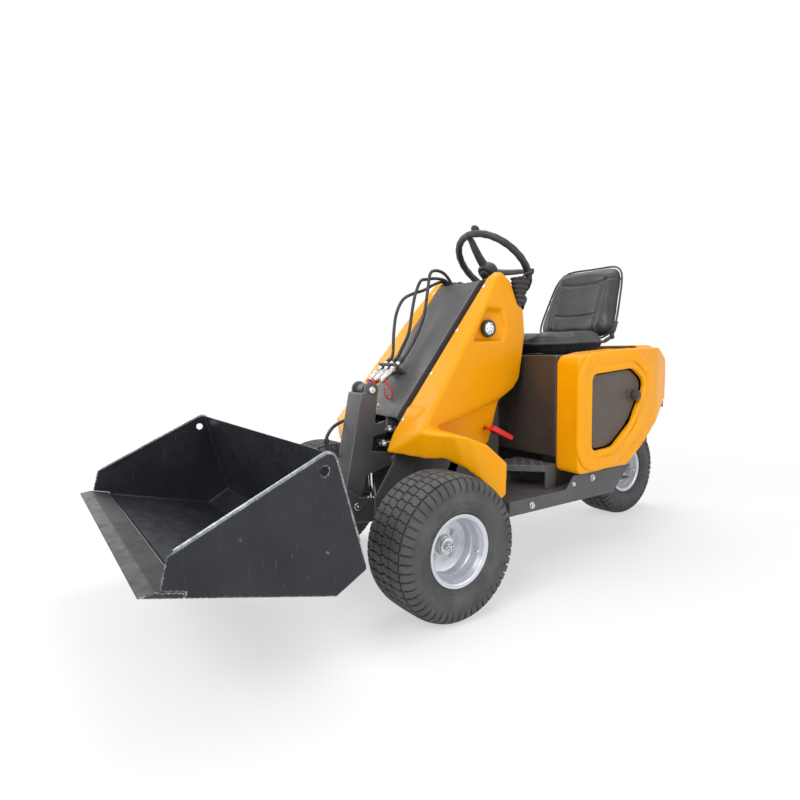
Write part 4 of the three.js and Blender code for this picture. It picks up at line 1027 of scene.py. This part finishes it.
def seat_cushion():
    """The pan cushion: raised sides, a sagging middle with two channels and a rolled front."""
    low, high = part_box("seat_cushion")
    middle = (low + high) / 2
    half_w, half_l = (high.x - low.x) / 2 - 0.004, (high.y - low.y) / 2 - 0.004

    def point(u, v, side):
        su, sv = superellipse(u, v, 4.5)
        edge = max(abs(u), abs(v))
        round_off = math.sqrt(max(0.0, 1 - edge ** 12))
        y = middle.y + sv * half_l + 0.012
        x = su * half_w * (1 - 0.04 * max(0.0, sv) ** 2)
        rise = 0.010 * sv
        sides = 0.012 * math.exp(-((abs(su) - 0.8) / 0.2) ** 2)
        nose = 0.006 * math.exp(-((sv + 0.75) / 0.25) ** 2)
        top = low.z + 0.040 + (0.030 + sides + nose) * round_off + rise
        bottom = low.z + 0.040 - 0.036 * round_off
        return Vector((x, y, top if side > 0 else bottom))

    mesh = grid_solid("pan", 26, 28, point)
    obj = link_mesh("seat_pan_pad", mesh, ["vinyl"])
    inflate(obj, 0.010)
    smooth_mesh(obj.data)

    def to_plane(co):
        if co.z < middle.z - 0.004:
            return None
        return co.x - middle.x, co.y - middle.y, Vector((0, 0, -1))

    w, l = 0.130, half_l
    seams = [
        [(-w, l * 0.98), (-w, -l * 0.5), (-w * 0.8, -l * 0.62),
         (w * 0.8, -l * 0.62), (w, -l * 0.5), (w, l * 0.98)],
        [(-w, l * 0.25), (w, l * 0.25)], [(-w, -l * 0.2), (w, -l * 0.2)],
    ]
    press_seams(obj.data, seams, 0.0065, to_plane)
    set_looks(obj.data, ["vinyl"])
    finish_piece(obj, "chassis", "vinyl", ["seat_cushion"])
    pan = Build()
    outline = []
    for u, v in rounded_loop(56, 4.5):
        outline.append(Vector((middle.x + u * half_w * (1 - 0.04 * max(0.0, v) ** 2) * 1.01,
                middle.y + v * half_l * 1.01 + 0.012, low.z + 0.040 + 0.006 * v)))
    pan.swept(outline, 6.2, 8, 0, True)
    for side in (-1, 1):
        y = at(0, 1150, 0).y
        x = side * 0.196
        pan.swept([(x, y - 0.05, 0.868), (x, y - 0.01, 0.885), (x, y + 0.012, 0.915), (x, y + 0.03, 0.955)],
                8.5, 10, 1)
        pan.bolt((x + side * 0.006, y - 0.008, 0.887), (side, 0, 0), 8, 6, 2)
    pan.piece("seat_edge", "chassis", ["vinyl", "grip", "steel"], "vinyl")


# ------------------------------------------------------------------ bodywork and steelwork
def surface(node):
    """A function that finds a node's surface from a point along a direction: (place, normal) or None."""
    obj = frame["nodes"][node]
    tree = BVHTree.FromPolygons([obj.matrix_world @ v.co for v in obj.data.vertices],
            [tuple(p.vertices) for p in obj.data.polygons])

    def cast(origin, direction):
        place, normal, _, _ = tree.ray_cast(Vector(origin), Vector(direction).normalized())
        return (place, normal) if place else None
    return cast


def hood_crown(co):
    """Draws in the hood's top, so that its sides roll over towards the middle."""
    rise = max(0.0, min(1.0, (co.z - 0.63) / 0.218))
    back = max(0.0, min(1.0, (co.y - 0.90) / 0.24))
    return Vector((co.x * (1 - 0.20 * rise ** 2.2), co.y - 0.02 * rise ** 3 * back,
            co.z - 0.016 * back ** 2 * rise))


def bodywork():
    for side in ("left", "right"):
        moulded(f"{side}_cover", 0.0036, 30)
        moulded(f"{side}_pod", 0.0036, 22)
    moulded("rear_hood", 0.0036, 40, shape=hood_crown)
    moulded("seat_base", 0.005, 10, 0.2, ["dark_moulding"])
    remodel("dash", 0.007, 3)
    remodel("seat_mount", 0.003)
    remodel("red_pedal", 0.0035, 3)
    remodel("engine_block", 0.006)


def steelwork():
    moulded("bucket", 0.003, 4, 0.12, edge_wear_and_highlight="worn_edge", reach=0.0034)
    cast = surface("bucket")
    # Bars along the top edges of the bucket's side plates, in the lighter rim paint: worn steel, and a
    # painted highlight along the rim.
    for side, sign in SIDES:
        bar = Build()
        tops = []
        for k in range(61):
            y = -1.212 + 0.464 * k / 60
            hit = cast((sign * 0.545, y, 1.0), (0, 0, -1))
            if hit and hit[0].z > 0.33:
                tops.append(hit[0])
        verts = []
        for i, p in enumerate(tops):
            along = (tops[min(i + 1, len(tops) - 1)] - tops[max(i - 1, 0)]).normalized()
            up = Vector((0, -along.z, along.y))
            for x, rise in ((0.5475, -0.004), (0.5475, 0.0012), (0.5465, 0.0024), (0.5375, 0.0024),
                    (0.5365, 0.0012), (0.5365, -0.004)):
                verts.append(Vector((sign * x, p.y, p.z)) + up * rise)
        bar.rings(verts, 6)
        bar.piece(f"{side}_bucket_rim", "quick_attach", ["rim_wear_and_highlight"], "bucket_paint", smooth=25)
    moulded("cutting_edge", 0.0026, 3, 0.2, ["blade_paint"], "worn_edge", 0.003)
    # The boom, leg and quick attach get the lighter charcoal on the faces along their sharp edges: a painted
    # highlight.
    moulded("boom", 0.0026, 5, 0.12, edge_wear_and_highlight="charcoal_edge_highlight_and_wear", reach=0.0034)
    moulded("leg", 0.0021, 5, 0.12, edge_wear_and_highlight="charcoal_edge_highlight_and_wear", reach=0.003)
    moulded("quick_attach", 0.0024, 4, 0.12, edge_wear_and_highlight="charcoal_edge_highlight_and_wear", reach=0.003)
    moulded("main_frame", 0.0034, 3, 0.1)
    remodel("bucket_adapter", 0.0016)
    for node in ("level_link", "left_step", "right_step", "left_wheel_motor", "right_wheel_motor",
            "rear_fork", "rear_grille", "tower_left_plate", "tower_right_plate", "tower_rear_tie",
            "link_boss_left", "link_boss_right", "coupler_bracket", "lift_barrel", "tilt_barrel"):
        remodel(node, 0.0022)
    remodel("lift_rod", 0.0012, smooth=40)
    remodel("tilt_rod", 0.0012, smooth=40, looks=["chrome", "brass"],
            pick=lambda centre: int(centre.z < 0.312))
    remodel("lift_base_pin", 0.002)


DOOR_KNOB = (926, 652)
OUTSIDE = 520
CORNER_STEPS = 10
WINDOW = [(668, 454, 30), (668, 738, 30), (910, 756, 74), (996, 700, 90), (905, 545, 260), (790, 462, 120)]


def rounded_outline(corners):
    """The outline (y, z, corner radius) with an arc at each corner."""
    points = []
    for i, corner in enumerate(corners):
        here = Vector(corner[:2])
        before, after = Vector(corners[i - 1][:2]) - here, Vector(corners[(i + 1) % len(corners)][:2]) - here
        half = before.angle(after) / 2
        reach = min(corner[2] / math.tan(half), before.length * 0.48, after.length * 0.48)
        p, q = here + before.normalized() * reach, here + after.normalized() * reach
        for k in range(CORNER_STEPS + 1):
            t = k / CORNER_STEPS
            points.append(p * (1 - t) ** 2 + here * 2 * t * (1 - t) + q * t ** 2)
    return points


def outward(outline):
    """Each point of a closed outline, with the unit direction that leads out of it."""
    middle = sum(outline, Vector((0, 0))) / len(outline)
    pairs = []
    for i, p in enumerate(outline):
        along = (outline[(i + 1) % len(outline)] - outline[i - 1]).normalized()
        out = Vector((along.y, -along.x))
        pairs.append((p, -out if out.dot(p - middle) < 0 else out))
    return pairs


DOOR_OUTLINE = [(y, z, 48 if y < 700 else r) for y, z, r in WINDOW]


def doors():
    """Each door: a panel with a rolled edge inside the opening, and the boss of its latch knob."""
    outline = outward(rounded_outline(DOOR_OUTLINE))
    layers = ((437.5, 6.0), (437.5, 4.6), (438.5, 4.0), (443.0, 4.0), (444.4, 4.6), (445.0, 6.2),
            (445.2, 9.0))
    for side, sign in SIDES:
        build = Build()
        verts = []
        for x, inset in layers:
            for p, out in outline:
                spot = p - out * inset
                verts.append(at(sign * x, spot.x, spot.y))
        build.rings(verts, len(outline))
        build.boss([(24, 0), (24.5, 3), (21.5, 6), (17.5, 8), (17.5, 18), (19.2, 18.5), (20, 21), (20, 26),
                (18.8, 28.5)], 36, at(sign * 443.5, *DOOR_KNOB), (sign, 0, 0), 1)
        build.piece(f"{side}_door_panel", f"{side}_door", ["door_panel", "grip"], "plastic",
                [f"{side}_door"])


def door_bands():
    """The rolled lip round each door opening and the raised ridge outside it."""
    outline = outward(rounded_outline(WINDOW))
    sides = 12
    for side, sign in SIDES:
        cast = surface(f"{side}_pod")
        build = Build()
        for offset, half, height in ((14.5, 13, 8), (55, 24, 9.5)):
            depths = []
            for p, out in outline:
                hits = [cast(at(sign * OUTSIDE, *(p + out * reach)), (-sign, 0, 0)) for reach in (offset, 30)]
                hit = hits[0] or hits[1]
                depths.append(abs(hit[0].x) if hit and abs(hit[0].x) > 0.40 else 0.452)
            verts = []
            for i, (p, out) in enumerate(outline):
                x = sum(depths[(i + k) % len(depths)] for k in range(-3, 4)) / 7
                spot = p + out * offset
                low_front = max(0.08, min(1.0, (spot.x - 672) / 70)) if offset < 20 else 1.0
                for k in range(sides + 1):
                    a = math.pi * k / sides
                    place = spot + out * (half * math.cos(a))
                    lift = height * low_front * math.sin(a) ** 0.8 if 0 < k < sides else -2.5
                    verts.append(at(sign * (x * 1000 + lift), place.x, place.y))
            build.rings(verts, sides + 1, loop=True)
        build.piece(f"{side}_door_band", "chassis", ["yellow_paint"], "yellow_paint", smooth=60)


# ------------------------------------------------------------------ work lights, couplers and hoses
def work_light(side, hub_side):
    low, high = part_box(f"{side}_work_light")
    centre = (low + high) / 2
    axis = Vector((hub_side, 0, 0))
    back = Vector((low.x if hub_side > 0 else high.x, centre.y, centre.z))
    build = Build()
    build.boss([(30, 0), (32.5, 3), (32.8, 13), (31.2, 16.5), (27.5, 17.6), (23.8, 17.2), (22.8, 15),
            (22.2, 9.5), (15, 5.2)], 56, back, axis, tip=4)
    build.turned([(AXIS_R, 4.1), (15, 5.3), (22.1, 9.7), (22.6, 12.8), (21.9, 12.6), (14.5, 6.6),
            (AXIS_R, 5.6)], 48, back, axis, 1)
    for k in range(8):
        a = math.pi * (k + 0.5) / 4
        spot = back + axis * 0.0174 + round_x(a) * 0.0278
        build.dome(spot, axis, 2.4, 1.8, 2, 10)
    for k in range(6):
        a = math.pi * k / 3
        spot = back + axis * 0.0058 + round_x(a) * 0.0115
        build.boss([(4.2, 0), (3.6, 1.8)], 12, spot, axis, 3, tip=2)
    build.piece(f"{side}_lamp", "chassis", ["plastic", "chrome", "steel", "led"], "lens",
            [f"{side}_work_light"])
    lens = Build()
    lens.turned([(AXIS_R, 13.8), (22.5, 13.2), (23.2, 14.6), (22.2, 16.4), (12, 17.6), (AXIS_R, 18)], 48,
            back, axis)
    lens.piece(f"{side}_lamp_glass", "chassis", ["lens"], "lens")


COUPLER_FROM, COUPLER_TO = (38, 722), (122, 792)


def couplers():
    for number, x in enumerate((2, -38, -78), 1):
        start, end = at(x, *COUPLER_FROM), at(x, *COUPLER_TO)
        axis = (end - start).normalized()
        build = Build()
        ribs = [(12.6 - 0.8 * (k % 2), 13.2 + 1.6 * k) for k in range(11)]
        build.boss([(8.5, 1), (8.5, 4), (11.8, 4), (12.5, 6), (12.5, 11), (11.8, 13), *ribs, (11.8, 30.6),
                (11.8, 34), (9.8, 35), (9.8, 40)], 28, start, axis)
        build.turned([(11.8, 5.5), (13.4, 5.8), (13.6, 8.5), (13.4, 11.2), (11.8, 11.5)], 28, start, axis,
                2, True)
        build.boss([(12.5, 40), (13.2, 41.2), (13.2, 56.2), (12.4, 57.5)], 6, start, axis, 1)
        build.boss([(9.4, 57.5), (9.4, 64)], 20, start, axis, 1)
        build.boss([(11.8, 64), (12.4, 65), (12.4, 75), (11.6, 76.2)], 6, start, axis, phase=0.5)
        build.boss([(8.8, 76.2), (8.8, 84), (9.6, 85), (9.6, 90), (8.9, 91), (9.6, 93), (9.6, 98),
                (8.9, 99), (9.6, 101), (9.6, 106.5), (8.2, 108)], 24, start, axis)
        build.piece(f"coupler_{number}_body", "boom", ["steel", "brass", "red_paint"], "steel",
                [f"coupler_{number}"])
    caps = Build()
    near = at(2, *COUPLER_FROM)
    axis = (at(0, *COUPLER_TO) - at(0, *COUPLER_FROM)).normalized()
    caps.swept(spline([near + Vector((0.013, 0.006, 0.008)), at(24, 52, 716), at(31, 66, 692),
            at(29, 68, 668), at(24, 58, 660), at(20, 46, 672), at(17, 46, 700)], 6), 3, 8, 0)
    for x in (-38, -78):
        caps.boss([(8.8, -7), (10.2, -5), (11.8, -1), (11.8, 3.5)], 24, at(x, *COUPLER_FROM), axis)
    caps.piece("coupler_caps", "boom", ["red_paint"], "red_paint")


HOSE_ROUTES = (
    (2, [(-10, 181, 845), (-24, 230, 905), (-38, 271, 975), (-54, 303, 1075), (-62, 322, 1140),
         (-66, 352, 1156), (-70, 395, 1150), (-73, 432, 1122), (-74, 450, 1085)]),
    (-38, [(-44, 166, 843), (-54, 207, 905), (-68, 234, 985), (-78, 258, 1055), (-84, 290, 1112),
           (-86, 325, 1122), (-87, 375, 1128), (-88, 425, 1120), (-89, 448, 1085)]),
    (-78, [(-84, 153, 835), (-94, 164, 905), (-98, 180, 980), (-100, 214, 1037), (-101, 264, 1063),
           (-102, 320, 1080), (-102, 372, 1105), (-103, 420, 1118), (-104, 444, 1090)]),
)
HOSE_R = 6.3


def hoses():
    for number, (x, route) in enumerate(HOSE_ROUTES, 1):
        name = f"hose_{number}"
        line = spline([at(*point) for point in [(x, 122.5, 792.4), (x, 141, 808)] + route], 10)
        build = Build()
        build.swept(line, HOSE_R, 16, 0)
        start, then = line[0], line[3]
        build.turned([(AXIS_R, -4), (9.6, -4), (9.6, 6), (8.8, 7), (9.6, 9), (9.6, 18), (8.4, 21),
                (6.4, 21.5)], 20, start, then - start, 1)
        obj = build.piece_loose(name + "_line", ["hose_rubber", "steel"])
        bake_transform(obj)
        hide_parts(name)


# ------------------------------------------------------------------ fasteners, fittings and trim
def cover_screws():
    for side, sign in SIDES:
        cast = surface(f"{side}_cover")
        build = Build()
        for y, z in ((405, 1080), (279, 907), (158, 751), (34, 592)):
            hit = cast(at(sign * 152, y - 300, z + 240), (0, 300, -240))
            if hit:
                build.dome(hit[0] - hit[1] * 0.0008, hit[1], 7.5, 3.4, 0, 18)
                build.boss([(3.2, 0), (2.6, 0.8)], 6, hit[0] + hit[1] * 0.0022, hit[1], 1)
        build.piece(f"{side}_cover_screws", "chassis", ["steel", "grip"], "steel")


def frame_bolts():
    build = Build()

    def bolt_on(node, place, toward, radius, height, least_x=0.0):
        """A bolt where a sideways line from a place meets a node, if that is beyond least_x."""
        hit = surface(node)(place, (toward, 0, 0))
        if hit and abs(hit[0].x) > least_x:
            build.bolt(hit[0], (-toward, 0, 0), radius, height)

    for side, sign in SIDES:
        for y, z, r in ((396, 288, 8.5), (730, 340, 8.5), (621, 331, 6)):
            bolt_on("main_frame", at(sign * OUTSIDE, y, z), -sign, r, r * 0.7)
        for y, z in ((60, 860), (110, 480), (250, 700), (330, 700)):
            bolt_on(f"tower_{side}_plate", at(sign * 20, y, z), sign, 7, 5)
        for k in range(5):
            a = 2 * math.pi * k / 5 + 0.3
            place = at(sign * 480, 60 * math.cos(a), TYRE_R + 60 * math.sin(a))
            bolt_on(f"{side}_wheel_motor", place, -sign, 6, 5, 0.2)
    build.piece("frame_fasteners", "chassis", ["steel"], "steel")


TILT_FOOT, TILT_TIP = (-30, 697), (-2, 280)
LIFT_FOOT, LIFT_HEAD = (300, 346), (392, 943)


def pins():
    """Pin heads with grease nipples at the linkage's joints, and the leg's hydraulic fittings and hose."""
    def head(build, place, side, radius, length):
        axis = (side, 0, 0)
        build.boss([(radius, -4), (radius, length * 0.7), (radius * 0.86, length)], 28, place, axis)
        build.dome(place + Vector((side * length / 1000, 0, 0)), axis, radius * 0.28, 4, 1, 12)

    leg = Build()
    for side in (1, -1):
        head(leg, at(side * 50.5, *TILT_FOOT), side, 12.5, 5)
        head(leg, at(side * 50.5, 48, 566), side, 16.5, 4)
        head(leg, at(side * 67, -108, 292), side, 14.5, 5)
        leg.bolt(at(side * 47, -2, 640), (side, 0, 0), 5, 4, 0)
    for y, z in ((30, 551), (4, 501)):
        base = at(46, y, z)
        leg.boss([(10.5, 0), (10.5, 10)], 6, base, (1, 0, 0), 1)
        leg.swept(spline([base + Vector((0.008, 0, 0)), base + Vector((0.020, 0, 0.001)),
                base + Vector((0.026, 0.008, 0.003)), base + Vector((0.026, 0.026, 0.005))], 4), 7.8, 12, 0)
        end = base + Vector((0.026, 0.018, 0.004))
        leg.boss([(10.5, 0), (10.5, 11), (8.5, 13)], 6, end, (0, 1, 0.15), 1)
        leg.boss([(9.5, 0), (9.5, 12)], 6, base + Vector((0.020, 0, 0.005)), (0, 0, 1))
    leg.piece("leg_pins", "leg", ["steel", "brass"], "steel")
    loop = Build()
    way = spline([at(-44, -62, 588), at(-60, -84, 582), at(-66, -126, 562), at(-68, -152, 528),
            at(-66, -154, 496), at(-58, -140, 470), at(-44, -110, 452)], 8)
    loop.swept(way, 6.2, 12, 0)
    for spot, along in ((way[26], way[30] - way[26]), (way[2], way[4] - way[2])):
        loop.boss([(9.2, 0), (9.6, 2), (9.6, 14), (8.8, 16)], 16, spot, along, 1)
    loop.piece("leg_hose", "leg", ["hose_rubber", "steel"], "hose_rubber")
    claw = Build()
    for side in (1, -1):
        for y, z in ((-393, 490), (-405, 270)):
            hit = surface("quick_attach")(at(side * 420, y, z), (-side, 0, 0))
            if hit:
                head(claw, hit[0], side, 13, 6)
    claw.piece("attach_pins", "quick_attach", ["steel", "brass"], "steel")


def cylinder_fittings():
    lift = Build()
    foot, head = at(0, *LIFT_FOOT), at(0, *LIFT_HEAD)
    axis = (head - foot).normalized()
    lift.turned([(31.5, 0), (34.5, 2), (34.5, 16), (31.5, 18)], 40,
            foot + axis * ((head - foot).length - 0.085), axis, 0, True)
    lift.piece("lift_gland", "lift_barrel", ["charcoal_paint", "steel"], "charcoal_paint")
    tilt = Build()
    foot, tip = at(0, *TILT_FOOT), at(0, *TILT_TIP)
    axis = (tip - foot).normalized()
    away = Vector((0, -axis.z, axis.y))
    base = foot + axis * 0.07 + away * 0.0235
    tilt.boss([(8.5, -4), (8.5, 6)], 6, base, away, 1)
    tilt.boss([(6, 6), (6, 10)], 14, base, away, 1, tip=11)
    tilt.piece("tilt_fittings", "tilt_barrel", ["charcoal_paint", "steel"], "charcoal_paint")


def step_treads():
    """Raised lozenges on the treads of the two steps."""
    build = Build()
    for side, sign in SIDES:
        cast = surface(f"{side}_step")
        for i in range(8):
            for j in range(7):
                x, y = 172 + i * 24, 442 + j * 23
                hit = cast(at(sign * x, y, 470), (0, 0, -1))
                if not hit or hit[1].z < 0.9:
                    continue
                a = math.radians(45 if (i + j) % 2 else -45)
                along = Vector((math.cos(a), math.sin(a), 0))
                across = Vector((-along.y, along.x, 0))
                c, up = hit[0], Vector((0, 0, 1))
                ring = [c + along * p + across * q for p, q in ((-0.0088, 0), (-0.004, 0.0026),
                        (0.004, 0.0026), (0.0088, 0), (0.004, -0.0026), (-0.004, -0.0026))]
                top = [c + (p - c) * 0.72 + up * 0.0016 for p in ring]
                walls = [(k, (k + 1) % 6, 6 + (k + 1) % 6, 6 + k) for k in range(6)]
                build.faces([p - up * 0.0004 for p in ring] + top, walls + [range(6, 12)])
    build.piece("step_treads", "chassis", ["charcoal_paint"], "charcoal_paint")


def dash_controls():
    cast = surface("dash")
    build = Build()
    for x, z, kind in ((-58, 1030, "key"), (-22, 1030, "rocker"), (14, 1030, "rocker"), (58, 1030, "dial")):
        hit = cast(at(x, 900, z), (0, -1, 0))
        if not hit:
            continue
        place, normal = hit
        if kind == "key":
            build.boss([(13, 0), (13.5, 3), (11, 6)], 28, place, normal, 1)
            build.boss([(4.5, 6), (4, 14)], 8, place, normal, 1)
        elif kind == "dial":
            build.boss([(24, 0), (25, 3), (22.5, 7), (21.5, 5)], 36, place, normal)
            build.boss([(20.8, 5), (19, 5.8)], 36, place, normal, 2, tip=6)
        else:
            build.boss([(12.5, 0), (13.5, 2), (11.5, 5.5)], 4, place, normal, phase=math.pi / 4)
    build.piece("dash_controls", "chassis", ["grip", "steel", "vinyl"], "plastic")


def rear_trim():
    """Rubber pads on the pods, the hood's catches and the knobs of the doors."""
    build = Build()
    for side, sign in SIDES:
        cast = surface(f"{side}_pod")
        hit = cast(at(sign * 400, 905, 1000), (0, 0, -1))
        if hit:
            place = hit[0]
            build.boss([(26, -1), (27, 4), (24, 9)], 4, place, (0, 0, 1), tip=10, phase=math.pi / 4)
    hood = surface("rear_hood")
    for x in (-230, 230):
        hit = hood(at(x, 2200, 760), (0, -1, 0))
        if hit:
            build.boss([(17, 0), (18, 3), (15.5, 8)], 24, hit[0], hit[1], tip=9)
            build.boss([(6, 9), (5, 12)], 6, hit[0], hit[1], 1)
    build.piece("rear_trim", "chassis", ["grip", "steel"], "plastic")
    for side, sign in SIDES:
        knob = Build()
        place, axis = at(sign * 472, *DOOR_KNOB), (sign, 0, 0)
        knob.boss([(18.8, -3), (19.6, 0), (18.5, 3)], 32, place, axis, tip=4.2)
        knob.boss([(6.2, 3), (5.8, 5.2)], 20, place, axis, 1)
        knob.turned([(19.2, -16), (22.2, -15), (22.2, -10), (19.2, -9)], 32, place, axis, 0, True)
        knob.piece(f"{side}_door_knob", f"{side}_door", ["grip", "steel"], "plastic")


add_camera()
add_studio()
wheels()
steering_wheel()
control_boot()
bodywork()
doors()
door_bands()
steelwork()
for side, sign in SIDES:
    work_light(side, sign)
couplers()
hoses()
cover_screws()
frame_bolts()
pins()
cylinder_fittings()
step_treads()
dash_controls()
rear_trim()
seat_back()
seat_cushion()
